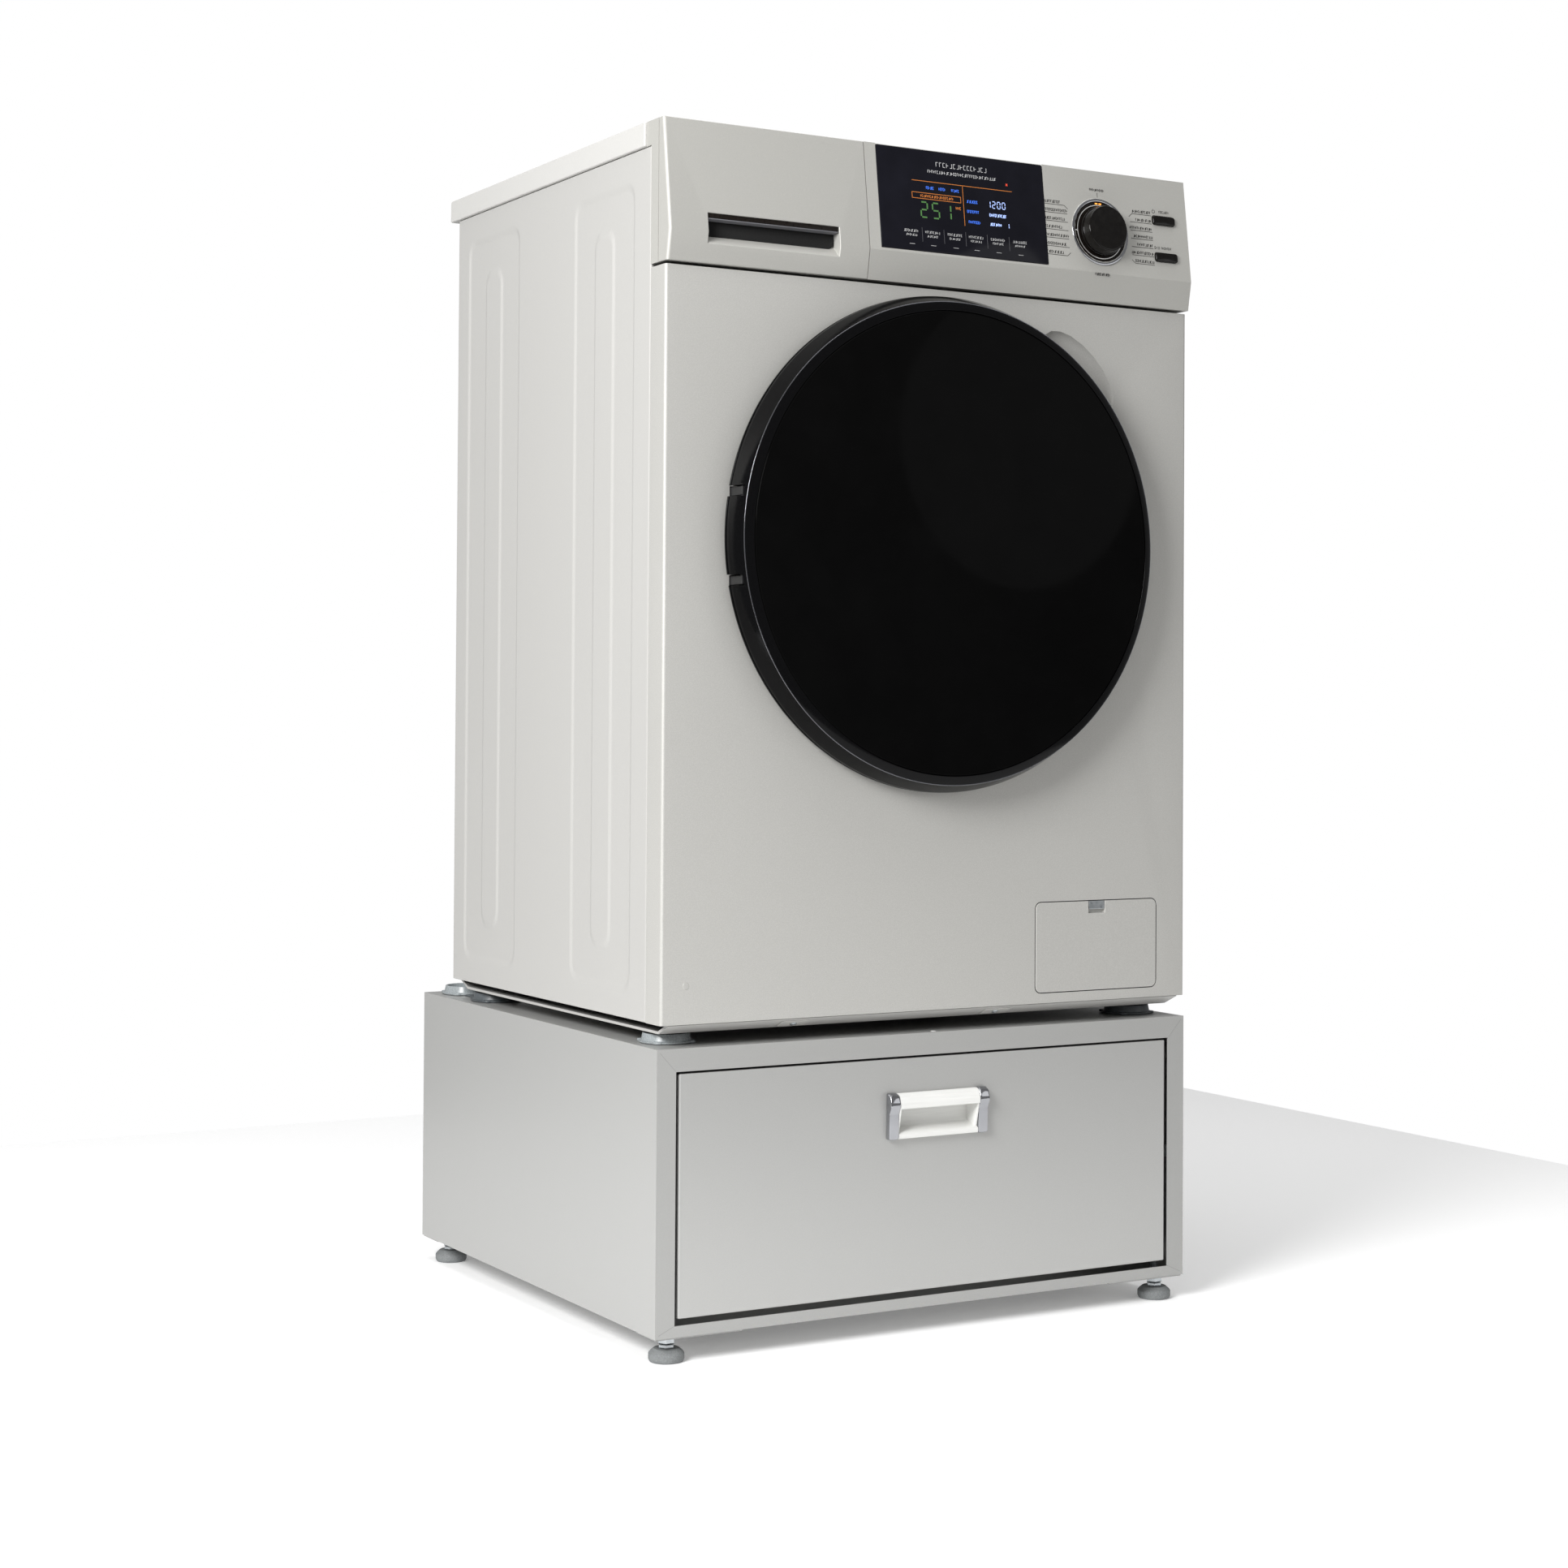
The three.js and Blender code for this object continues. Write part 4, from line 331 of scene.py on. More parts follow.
# Quads between neighbours of a rows by columns grid of points, closing round either way.
def gridFaces(rows, columns, wrapRows=False, wrapColumns=False, start=0):
    i = np.arange(rows if wrapRows else rows - 1)
    j = np.arange(columns if wrapColumns else columns - 1)
    a, b = np.meshgrid(i, j, indexing="ij")
    nextRow = (a + 1) % rows
    nextColumn = (b + 1) % columns
    here, after = a * columns, nextRow * columns
    corners = [here + b, after + b, after + nextColumn, here + nextColumn]
    return np.stack(corners, -1).reshape(-1, 4) + start


# Merges doubles, unless they are to stay, and turns every face outwards.
def outward(piece, merge=True):
    work = bmesh.new()
    work.from_mesh(piece.data)
    if merge:
        bmesh.ops.remove_doubles(work, verts=work.verts, dist=0.002 * mm)
    bmesh.ops.recalc_face_normals(work, faces=work.faces)
    work.to_mesh(piece.data)
    work.free()
    return piece


# A polyline with each inner corner replaced by an arc: from the corner, the tangent points lie
# radius / tan(half angle) along both arms, at most 45% of the shorter arm.
# radius is one number, or one for each corner.
def roundCorners(points, radius, steps=4):
    points = np.asarray(points, float)
    radii = np.broadcast_to(radius, len(points))
    result = [points[:1]]
    for before, corner, after, wanted in zip(points[:-2], points[1:-1], points[2:], radii[1:-1]):
        armIn, armOut = before - corner, after - corner
        lengthIn, lengthOut = np.linalg.norm(armIn), np.linalg.norm(armOut)
        armIn, armOut = armIn / lengthIn, armOut / lengthOut
        half = math.acos(np.clip(armIn @ armOut, -1, 1)) / 2
        if wanted <= 0 or half > math.radians(88):
            result.append(corner[None])
            continue
        reach = min(wanted / math.tan(half), 0.45 * min(lengthIn, lengthOut))
        arc = reach * math.tan(half)
        middle = corner + (armIn + armOut) / np.linalg.norm(armIn + armOut) * arc / math.sin(half)
        first, last = corner + armIn * reach - middle, corner + armOut * reach - middle
        span = math.pi - 2 * half
        t = np.linspace(0, 1, steps + 1)[:, None]
        result.append(middle + (np.sin((1 - t) * span) * first + np.sin(t * span) * last) / math.sin(span))
    result.append(points[-1:])
    return np.concatenate(result)


# roundCorners for a closed outline, which starts in the middle of its first side.
def closedRound(points, radius, steps=4):
    points = np.asarray(points, float)
    middle = (points[0] + points[-1]) / 2
    radii = np.concatenate([[0], np.broadcast_to(radius, len(points)), [0]])
    return roundCorners(np.concatenate([[middle], points, [middle]]), radii, steps)[:-1]


# ways to carry (a, b, height) points into place: height runs along Y, Z or X
def aboutY(centre):
    return lambda p: np.asarray(centre) + p[:, [0, 2, 1]]


def aboutZ(centre):
    return lambda p: np.asarray(centre) + p


def aboutX(centre):
    return lambda p: np.asarray(centre) + p[:, [2, 0, 1]]


# A profile of (radius, height) turned about its axis, then carried into place. A profile that starts and
# ends on the axis is closed there by one point each; any other joins its last point to its first.
def revolved(name, profile, onto, steps=180):
    profile = np.asarray(profile, float)
    onAxis = profile[0, 0] < 1e-6 and profile[-1, 0] < 1e-6
    angle = np.linspace(0, 2 * math.pi, steps, endpoint=False)[None]
    radius, height = profile[:, :1], profile[:, 1:]
    points = np.stack([radius * np.cos(angle), radius * np.sin(angle), height + 0 * angle], -1).reshape(-1, 3)
    faces = gridFaces(len(profile), steps, wrapRows=not onAxis, wrapColumns=True)
    return outward(makeMesh(name, onto(points), faces))


# Outlines of (a, b) points, one for each height, joined by quads; the first and last are closed flat.
def ruled(name, levels, onto):
    count = len(levels[0][0])
    points = np.concatenate([np.column_stack([ring, np.full(count, height)]) for ring, height in levels])
    faces = gridFaces(len(levels), count, wrapColumns=True).tolist()
    faces.append(list(range(count)))
    faces.append(list(range((len(levels) - 1) * count, len(levels) * count)))
    return outward(makeMesh(name, onto(points), faces))


# Outline of a rectangle with rounded corners, anticlockwise.
def roundedBox(low, high, radius, steps=5):
    corners = [(low[0], low[1]), (high[0], low[1]), (high[0], high[1]), (low[0], high[1])]
    return closedRound(corners, radius, steps)


# A flat plate with rounded corners: its outline steps in by edge * (1 - cos t) as it rises by
# edge * sin t, so the rim of the face is a quarter round.
def plate(name, low, high, corner, heights, edge, onto, steps=5):
    low, high = np.asarray(low, float), np.asarray(high, float)
    levels = [(roundedBox(low, high, corner, steps), heights[0])]
    way = math.copysign(1, heights[1] - heights[0])
    for t in np.linspace(0, math.pi / 2, 4):
        inset = edge * (1 - math.cos(t))
        outline = roundedBox(low + inset, high - inset, max(corner - inset, 0.05), steps)
        levels.append((outline, heights[1] - way * edge * (1 - math.sin(t))))
    return ruled(name, levels, onto)


# A copy of a CAD node with its loose triangles merged, flat areas joined to one face, and its edges
# rounded. softer(points) gives the share of the width for an edge with that middle.
rounding = {"segments": 3, "fromAngle": 35}


def bevelled(node, name, edge, body, material, softer=None, smooth=40):
    piece = bpy.data.objects.new(name, nodes[node].data.copy())
    bpy.context.scene.collection.objects.link(piece)
    piece.data.materials.clear()
    work = bmesh.new()
    work.from_mesh(piece.data)
    bmesh.ops.remove_doubles(work, verts=work.verts, dist=0.01 * mm)
    bmesh.ops.dissolve_limit(
        work, angle_limit=math.radians(0.6), verts=work.verts, edges=work.edges,
        use_dissolve_boundaries=False,
    )
    work.to_mesh(piece.data)
    work.free()
    modifier = piece.modifiers.new("rounded edges", "BEVEL")
    modifier.width = edge * mm
    modifier.segments = rounding["segments"]
    modifier.harden_normals = True
    modifier.use_clamp_overlap = True
    if softer:
        mesh = piece.data
        points = np.zeros(len(mesh.vertices) * 3)
        mesh.vertices.foreach_get("co", points)
        ends = np.zeros(len(mesh.edges) * 2, int)
        mesh.edges.foreach_get("vertices", ends)
        middles = points.reshape(-1, 3)[ends.reshape(-1, 2)].mean(1) / mm
        sharp = edgeAngles(mesh) > math.radians(rounding["fromAngle"])
        shares = mesh.attributes.new("bevel_weight_edge", "FLOAT", "EDGE")
        shares.data.foreach_set("value", np.where(sharp, softer(middles), 0))
        modifier.limit_method = "WEIGHT"
    else:
        modifier.limit_method = "ANGLE"
        modifier.angle_limit = math.radians(rounding["fromAngle"])
    return finish(piece, body, material, [node], smooth)


# Angle between the faces at each edge.
def edgeAngles(mesh):
    work = bmesh.new()
    work.from_mesh(mesh)
    work.edges.ensure_lookup_table()
    angles = np.array([e.calc_face_angle(0.0) for e in work.edges])
    work.free()
    return angles


# Several separate boxes as one mesh. Each part is eight corners in the order of boxCorners.
def boxMesh(name, parts):
    sides = np.array([[0, 1, 3, 2], [4, 6, 7, 5], [0, 4, 5, 1], [2, 3, 7, 6], [0, 2, 6, 4], [1, 5, 7, 3]])
    faces = (sides[None] + 8 * np.arange(len(parts))[:, None, None]).reshape(-1, 4)
    return makeMesh(name, np.concatenate(parts), faces)


def gathered(name, parts):
    return outward(boxMesh(name, parts))


# The eight corners between two places, x slowest.
def boxCorners(low, high):
    xs, ys, zs = zip(low, high)
    return np.array([[x, y, z] for x in xs for y in ys for z in zs])


# the frame's own places

shellLow, shellHigh = place("pedestal_shell")
front = shellLow[1]  # front plane of the pedestal
panelLow, panelHigh = place("control_panel")
washerLow, washerHigh = place("washer_front_panel")
doorLow, doorHigh = place("door_ring")
doorX, doorZ = 0, (doorLow[2] + doorHigh[2]) / 2
foldRise = 28.5  # the panel's fold above its lower edge
faceLean = 13.7  # how far the panel's face leans back above its fold
foldZ = panelLow[2] + foldRise
faceUp = np.array([0, faceLean, panelHigh[2] - foldZ]) / math.hypot(faceLean, panelHigh[2] - foldZ)
faceOut = np.array([0, -faceUp[2], faceUp[1]])


# The control panel's face: a runs along X, b up the leaning face from the height z, and height out of it.
def onPanel(x, z):
    start = np.array([x, panelLow[1] + (z - foldZ) / faceUp[2] * faceUp[1], z])
    return lambda p: start + p[:, :1] * [1, 0, 0] + p[:, 1:2] * faceUp + p[:, 2:] * faceOut


# Thin raised marks on the panel's face: each bar is x and z at both ends and a width.
def marks(name, bars, width, heights, material, body="case"):
    boxes = []
    for x0, z0, x1, z1 in bars:
        start, end = np.array([x0, z0 - foldZ]), np.array([x1, z1 - foldZ])
        along = (end - start) / max(np.linalg.norm(end - start), 1e-6)
        side = np.array([-along[1], along[0]]) * width / 2
        corners = [(p + s * side)[:2] for p in (start, end) for s in (-1, 1)]
        boxes.append(np.array([[*c, h] for c in corners for h in heights]))
    onFace = onPanel(0, foldZ)
    piece = boxMesh(name, [onFace(box) for box in boxes])
    return finish(outward(piece, merge=False), body, material)


# A thin frame between two rounded rectangles in the XZ plane, from one Y to another: four rings of
# points, joined round as a closed band.
def rimLine(name, low, high, corner, width, span):
    low, high = np.asarray(low, float), np.asarray(high, float)
    inner = roundedBox(low, high, corner)
    outer = roundedBox(low - width, high + width, corner + width)
    rings = [(outer, span[0]), (outer, span[1]), (inner, span[1]), (inner, span[0])]
    points = np.concatenate([np.column_stack([ring, np.full(len(ring), y)]) for ring, y in rings])
    faces = gridFaces(4, len(inner), wrapRows=True, wrapColumns=True)
    return outward(makeMesh(name, points[:, [0, 2, 1]], faces))


# copies of the CAD shells with rounded edges

shells = {
    "washer_top_cover": ("worktop", 3.0, laminate, "case", "worktop_laminate"),
    "washer_front_panel": ("front_steel", 0.7, silverPaint, "case", "painted_front_steel"),
    "washer_rear_panel": ("rear_steel", 0.8, zincPlate, "case", "painted_case_steel"),
    "washer_base": ("base_tray", 1.0, casePaint, "case", "painted_case_steel"),
    "pedestal_shell": ("pedestal_case", 2.2, pedestalPaint, "case", "painted_case_steel"),
    "drawer_box": ("pedestal_drawer_box", 0.8, pedestalPaint, "pedestal_drawer", "painted_case_steel"),
    "drawer_front": ("pedestal_drawer_front", 1.6, drawerPaint, "pedestal_drawer", "painted_front_steel"),
    "control_panel": ("panel_moulding", None, panelPaint, "case", "panel_abs"),
    "detergent_drawer": ("detergent_drawer_moulding", None, panelPaint, "detergent_drawer", "panel_abs"),
    "filter_flap": ("filter_flap_cover", 0.8, silverPaint, "filter_flap", "flap_abs"),
    "flap_latch": ("flap_latch_slider", 0.5, zincPlate, "flap_latch", "zinc_plate"),
    "door_inner_frame": ("door_inner_ring", 0.8, innerBlack, "door", "black_abs"),
    "door_hinge": ("door_hinge_casting", 0.8, innerBlack, "case", "black_abs"),
    "door_hook": ("door_hook_pawl", 0.5, zincPlate, "door_hook", "zinc_plate"),
    "dispenser_housing": ("dispenser_box", 0.8, tubPlastic, "case", "tub_polypropylene"),
    "slide_rail_left": ("drawer_runner_left", 0.4, zincPlate, "case", "zinc_plate"),
    "slide_rail_right": ("drawer_runner_right", 0.4, zincPlate, "case", "zinc_plate"),
    "counterweight": ("concrete_weight", 2.0, castIron, "case", "cast_iron"),
    "pump_filter": ("pump_filter_knob", 0.6, greyPlastic, "pump_filter", "grey_plastic"),
}


# The front edges at the ends of the panel are moulded rounder than the rest.
panelRound = {"width": 3.2, "restShare": 0.25, "endReach": 4, "frontReach": 2}


def panelEdge(middles):
    outside = np.abs(middles[:, 0]) > panelHigh[0] - panelRound["endReach"]
    ahead = middles[:, 1] < front + panelRound["frontReach"]
    return np.where(outside & ahead, 1.0, panelRound["restShare"])


shallowFolds = 12  # degrees past which a fold of the rear panel shows as an edge
for node, (name, edge, material, body, slotName) in shells.items():
    if node in ("control_panel", "detergent_drawer"):
        bevelled(node, name, panelRound["width"], body, material, softer=panelEdge)
    elif node == "washer_rear_panel":
        bevelled(node, name, edge, body, material, smooth=shallowFolds)
    else:
        bevelled(node, name, edge, body, material)
print("shells rounded:", len(shells))

# CAD nodes that keep their own mesh, with the finish of the real part
kept = {
    zincPlate: ["tub_spring_left", "tub_spring_right"],
    satinAluminium: ["drum_pulley", "drying_duct", "motor_pulley"],
    blackRubber: ["drive_belt"],
    tubPlastic: ["tub_front", "tub_rear", "inlet_valve", "drain_pump"],
    greyPlastic: ["drive_motor", "tub_damper_left", "tub_damper_right"],
    castIron: ["drum_shaft"],
    circuitBoard: ["control_board"],
}
for material, names in kept.items():
    for name in names:
        mesh = nodes[name].data
        mesh.materials.clear()
        mesh.materials.append(material)
print("inner parts finished")


# washer side panels

side = {
    "depth": 1.2,
    "slope": 3.6,
    "recesses": [(63.1, 190.1), (325.1, 452.1)],  # behind the pedestal's front plane
    "recessEnds": (28, 31),
    "plateau": 40,
    "plateauInset": 36,
    "corner": 14,
    "rim": 7,
    "rimRound": 1.6,
    "sheet": 1.2,
    "columns": 300,
    "rows": 240,
}


# Signed distance to a rounded rectangle, negative inside: the usual box distance of the point folded
# into one quadrant, less the corner radius.
def roundedDistance(y, z, low, high, corner):
    half = (np.array(high) - low) / 2
    middle = (np.array(high) + low) / 2
    offY = np.abs(y - middle[0]) - half[0] + corner
    offZ = np.abs(z - middle[1]) - half[1] + corner
    outside = np.hypot(np.maximum(offY, 0), np.maximum(offZ, 0))
    return outside + np.minimum(np.maximum(offY, offZ), 0) - corner


def smoothStep(t):
    t = np.clip(t, 0, 1)
    return t * t * (3 - 2 * t)


# The side is a grid over Y and Z. Its X sinks by the depth inside each recess and comes back out on the
# plateau, with a smooth slope at each border, and its rim turns inwards through a quarter round.
def sideSkin(word, way):
    low, high = place("washer_side_" + word)
    outer = max(abs(low[0]), abs(high[0]))
    turn = np.linspace(0, math.pi / 2, 5)
    r = side["rimRound"]
    rimInset = np.concatenate([[side["rim"]], r * (1 - np.sin(turn))])
    rimAlong = np.concatenate([[0], r * (1 - np.cos(turn))])
    flatY = np.linspace(low[1] + r, high[1] - r, side["columns"])[1:-1]
    flatZ = np.linspace(low[2] + r, high[2] - r, side["rows"])[1:-1]
    ys = np.concatenate([low[1] + rimAlong, flatY, high[1] - rimAlong[::-1]])
    zs = np.concatenate([low[2] + rimAlong, flatZ, high[2] - rimAlong[::-1]])
    insetY = np.concatenate([rimInset, np.zeros(side["columns"] - 2), rimInset[::-1]])
    insetZ = np.concatenate([rimInset, np.zeros(side["rows"] - 2), rimInset[::-1]])
    y, z = np.meshgrid(ys, zs, indexing="ij")
    sunk = np.maximum(insetY[:, None], insetZ[None])
    slope = side["slope"]
    for near, far in side["recesses"]:
        recessLow = np.array([front + near, low[2] + side["recessEnds"][0]])
        recessHigh = np.array([front + far, high[2] - side["recessEnds"][1]])
        middle = (recessLow[0] + recessHigh[0]) / 2
        plateauLow = np.array([middle - side["plateau"] / 2, recessLow[1] + side["plateauInset"]])
        plateauHigh = np.array([middle + side["plateau"] / 2, recessHigh[1] - side["plateauInset"]])
        border = roundedDistance(y, z, recessLow, recessHigh, side["corner"])
        crest = roundedDistance(y, z, plateauLow, plateauHigh, side["corner"])
        sunk = sunk + side["depth"] * (smoothStep(0.5 - border / slope) - smoothStep(0.5 - crest / slope))
    points = np.stack([way * (outer - sunk), y, z], -1).reshape(-1, 3)
    faces = gridFaces(len(ys), len(zs))
    if way < 0:
        faces = faces[:, ::-1]
    piece = makeMesh("side_steel_" + word, points, faces)
    modifier = piece.modifiers.new("sheet", "SOLIDIFY")
    modifier.thickness = side["sheet"] * mm
    modifier.offset = -1
    return finish(piece, "case", casePaint, ["washer_side_" + word], smooth=50)


hangerShelf = {"across": (178, 296), "inset": 4, "bite": 0.2, "top": 2.6}  # the shelf above each spring
for word, way in (("left", -1), ("right", 1)):
    sideSkin(word, way)
    springLow, springHigh = place("tub_spring_" + word)
    ends = sorted(way * reach for reach in hangerShelf["across"])
    low = [ends[0], springLow[1] + hangerShelf["inset"], springHigh[2] - hangerShelf["bite"]]
    high = [ends[1], springHigh[1] - hangerShelf["inset"], springHigh[2] + hangerShelf["top"]]
    hanger = gathered("spring_hanger_" + word, [boxCorners(low, high)])
    finish(hanger, "case", casePaint)
print("side panels made")


# door

door = {
    # the ring's outline as radius and place behind the pedestal's front plane, so these are proud of it
    "glassRadius": 221.4,
    "glassEdge": 1.2,
    "ring": [
        (222.0, -36.0), (231.0, -32.2), (237.9, -15.2), (238.4, -12.6), (236.9, -12.2), (236.9, -10.6),
        (238.4, -10.2), (238.4, -8.1), (236.0, -8.1), (236.0, -12.6), (229.5, -28.6), (214.2, -29.1),
        (214.2, -31.5), (222.0, -31.5),
    ],
    "ringRounding": [0.35, 1.4, 1.2, 0.5, 0.3, 0.3, 0.4, 0.3, 0.3, 1, 1, 0.3, 0.3, 0.3],
}


def doorPlace():
    return aboutY([doorX, front, doorZ])


# Takes boxes out of a closed piece.
def cutBoxes(piece, boxes):
    cutter = gathered("cutter", boxes)
    modifier = piece.modifiers.new("cut", "BOOLEAN")
    modifier.operation = "DIFFERENCE"
    modifier.solver = "EXACT"
    modifier.object = cutter
    bpy.context.view_layer.update()
    whole = piece.evaluated_get(bpy.context.evaluated_depsgraph_get())
    mesh = bpy.data.meshes.new_from_object(whole)
    piece.modifiers.clear()
    piece.data = mesh
    bpy.data.objects.remove(cutter)
    return piece


# the trim ring has a notch over each hinge arm, so that it clears the arms as it swings
notch = {"rise": 41, "half": 5, "depth": (-28.4, 1), "past": 4.5, "plateToPin": 12}
notchSide = place("door_hinge")[0][0] + notch["plateToPin"] + notch["past"]
notchParts = [boxCorners(
    (doorLow[0] - 1, front + notch["depth"][0], doorZ + way * notch["rise"] - notch["half"]),
    (notchSide, front + notch["depth"][1], doorZ + way * notch["rise"] + notch["half"]),
) for way in (-1, 1)]
ringProfile = closedRound(door["ring"], door["ringRounding"])
ringSteps = 288
trimRing = revolved("door_trim_ring", ringProfile, doorPlace(), ringSteps)
finish(cutBoxes(trimRing, notchParts), "door", trimBlack, ["door_ring"], smooth=30)
# two thin chrome rings, at the shoulder and the base, stand in for the trim's highlight lines: painted
# highlight in part
shoulderHighlight = revolved("door_trim_highlight_bead", closedRound([
    (230.3, -32.5), (231.1, -32.4), (231.1, -31.6), (230.3, -31.6),
], 0.25), doorPlace(), ringSteps)
finish(shoulderHighlight, "door", highlightChrome, smooth=50)
baseHighlight = revolved("door_trim_base_highlight", closedRound([
    (237.6, -8.9), (238.3, -8.9), (238.3, -8.2), (237.6, -8.2),
], 0.2), doorPlace(), ringSteps)
finish(cutBoxes(baseHighlight, notchParts), "door", highlightChrome, smooth=50)
glassLow, glassHigh = place("door_glass")
edge = door["glassEdge"]
glassProfile = roundCorners([
    (0, glassLow[1] - front), (door["glassRadius"], glassLow[1] - front),
    (door["glassRadius"], glassHigh[1] - front), (0, glassHigh[1] - front),
], edge)
finish(
    revolved("door_cover_glass", glassProfile, doorPlace(), 240),
    "door", blackGlass, ["door_glass"], smooth=50,
)

# the pressed bowl: a wide flange, a soft shoulder, walls that narrow backwards and a domed nose
bowlLow, bowlHigh = place("door_bowl")
bowlBack = bowlHigh[1] - front
bowlFront = bowlLow[1] - front
bowl = {"flange": 168, "mouth": 150, "nose": 118, "wall": 5, "flangeThickness": 4}
bowlProfile = roundCorners([
    (0, bowlBack), (bowl["nose"], bowlBack), (bowl["mouth"], bowlFront + 12),
    (bowl["mouth"], bowlFront + bowl["flangeThickness"]),
    (bowl["flange"], bowlFront + bowl["flangeThickness"]),
    (bowl["flange"], bowlFront), (bowl["mouth"] - bowl["wall"], bowlFront),
    (bowl["nose"] - bowl["wall"], bowlBack - bowl["wall"]), (0, bowlBack - bowl["wall"]),
], [0, 26, 10, 1, 1.5, 1, 5, 22, 0], steps=8)
finish(
    revolved("door_glass_bowl", bowlProfile, doorPlace(), 160),
    "door", bowlGlass, ["door_bowl"], smooth=60,
)
print("door made")

# gasket: a lip on the front steel, two folds, and a collar on the tub
gasketLow, gasketHigh = place("door_gasket")
gasket = {"wall": 4.5, "outer": 177.6, "mouth": 156}
start, stop = gasketLow[1] - front, gasketHigh[1] - front
centreLine = roundCorners([
    (gasket["outer"] - 3, start + 3), (gasket["mouth"] + 2, start + 3), (gasket["mouth"], start + 16),
    (gasket["outer"] - 6, start + 22), (gasket["outer"] - 6, start + 34), (gasket["mouth"] + 3, start + 40),
    (gasket["mouth"] + 3, stop - 6), (gasket["outer"] - 4, stop - 3),
], 5, steps=6)
direction = np.gradient(centreLine, axis=0)
direction /= np.linalg.norm(direction, axis=1)[:, None]
sideways = np.column_stack([-direction[:, 1], direction[:, 0]]) * gasket["wall"] / 2
gasketProfile = np.concatenate([centreLine + sideways, (centreLine - sideways)[::-1]])
finish(
    revolved("door_seal", gasketProfile, doorPlace(), 160),
    "case", greyRubber, ["door_gasket"], smooth=60,
)

# drum: rolled steel with rows of holes, drawn as dark discs of painted shade, and three lifters
drumLow, drumHigh = place("drum")
drum = {
    "radius": drumHigh[0], "sheet": 2.0, "mouth": 160, "lip": 6, "holePitch": 24.5, "holeRadius": 2.2,
    "rows": 11, "around": 60, "lifters": 3, "lifterHeight": 42, "lifterHalf": 24,
}
near, far = drumLow[1] - front, drumHigh[1] - front
drumProfile = roundCorners([
    (0, far), (drum["radius"], far), (drum["radius"], near), (drum["mouth"], near),
    (drum["mouth"], near + drum["lip"]), (drum["mouth"] + drum["sheet"], near + drum["lip"]),
    (drum["mouth"] + drum["sheet"], near + drum["sheet"]),
    (drum["radius"] - drum["sheet"], near + drum["sheet"]),
    (drum["radius"] - drum["sheet"], far - drum["sheet"]), (0, far - drum["sheet"]),
], [0, 14, 14, 1, 0, 0, 1, 12, 12, 0], steps=6)
finish(
    revolved("drum_shell", drumProfile, doorPlace(), 180),
    "drum", stainless, ["drum"], smooth=50,
)


# Small dark discs just inside the wall, in rows along the drum and columns round it, every other row
# half a step on: painted shade in place of the holes' shadowed inside. Each disc is an eight sided dome flat
# on the wall.
def drumHoleShadows():
    inside = drum["radius"] - drum["sheet"] - 0.15
    rows = np.arange(drum["rows"])
    around = np.arange(drum["around"])
    row, column = [g.ravel() for g in np.meshgrid(rows, around, indexing="ij")]
    height = near + 26 + row * drum["holePitch"]
    turn = (column + 0.5 * (row % 2)) * 2 * math.pi / drum["around"]
    lifterTurn = (turn - math.pi / 2) % (2 * math.pi / drum["lifters"])
    clear = np.minimum(lifterTurn, 2 * math.pi / drum["lifters"] - lifterTurn) > 0.14
    height, turn = height[clear], turn[clear]
    rim = np.linspace(0, 2 * math.pi, 8, endpoint=False)[None]
    hole = drum["holeRadius"]
    angle = turn[:, None] + hole * np.cos(rim) / inside
    along = height[:, None] + hole * np.sin(rim)
    outer = np.stack([inside * np.cos(angle), inside * np.sin(angle), along], -1)
    inner = np.stack([(inside - 0.3) * np.cos(angle), (inside - 0.3) * np.sin(angle), along], -1)
    points = np.concatenate([outer, inner], 1).reshape(-1, 3)
    step = np.arange(8)
    wall = np.stack([step, (step + 1) % 8, 8 + (step + 1) % 8, 8 + step], -1)
    starts = 16 * np.arange(len(turn))
    faces = []
    for first in starts:
        faces += (wall + first).tolist() + [(first + step[::-1]).tolist(), (first + 8 + step).tolist()]
    piece = makeMesh("drum_hole_shadows", doorPlace()(points), faces)
    return finish(outward(piece), "drum", shadowGap)


drumHoleShadows()


# A lifter is a smooth hump on the wall: its height falls off as a cosine across its width and near
# its two ends.
def drumLifter(number):
    wall = drum["radius"] - drum["sheet"]
    across = np.linspace(-1, 1, 25)
    along = np.linspace(near + 30, far - 30, 40)
    v, h = np.meshgrid(across, along, indexing="ij")
    ends = smoothStep((h - near - 30) / 26) * smoothStep((far - 30 - h) / 26)
    rise = drum["lifterHeight"] * (0.5 + 0.5 * np.cos(v * math.pi)) * ends
    turn = math.pi / 2 + number * 2 * math.pi / drum["lifters"] + v * drum["lifterHalf"] / wall
    points = np.stack([(wall - rise) * np.cos(turn), (wall - rise) * np.sin(turn), h], -1).reshape(-1, 3)
    piece = makeMesh("drum_lifter_%d" % (number + 1), doorPlace()(points), gridFaces(25, 40))
    modifier = piece.modifiers.new("sheet", "SOLIDIFY")
    modifier.thickness = 0.8 * mm
    modifier.offset = 0
    return finish(piece, "drum", stainless, smooth=60)


for number in range(drum["lifters"]):
    drumLifter(number)
print("seal and drum made")


# display

display = {
    "corner": 1.5, "proud": 0.3, "back": -1.6, "edge": 0.3, "endRoom": 0.8, "markHeights": (0.31, 0.36),
}
lensLow, lensHigh = place("display_window")
lensRise = (lensHigh[2] - lensLow[2]) / faceUp[2] - display["endRoom"]
lens = plate(
    "display_lens", (lensLow[0], 0), (lensHigh[0], lensRise), display["corner"],
    (display["back"], display["proud"]), display["edge"], onPanel(0, lensLow[2] + 0.3),
)
finish(lens, "case", displayGlass, ["display_window"], smooth=50)


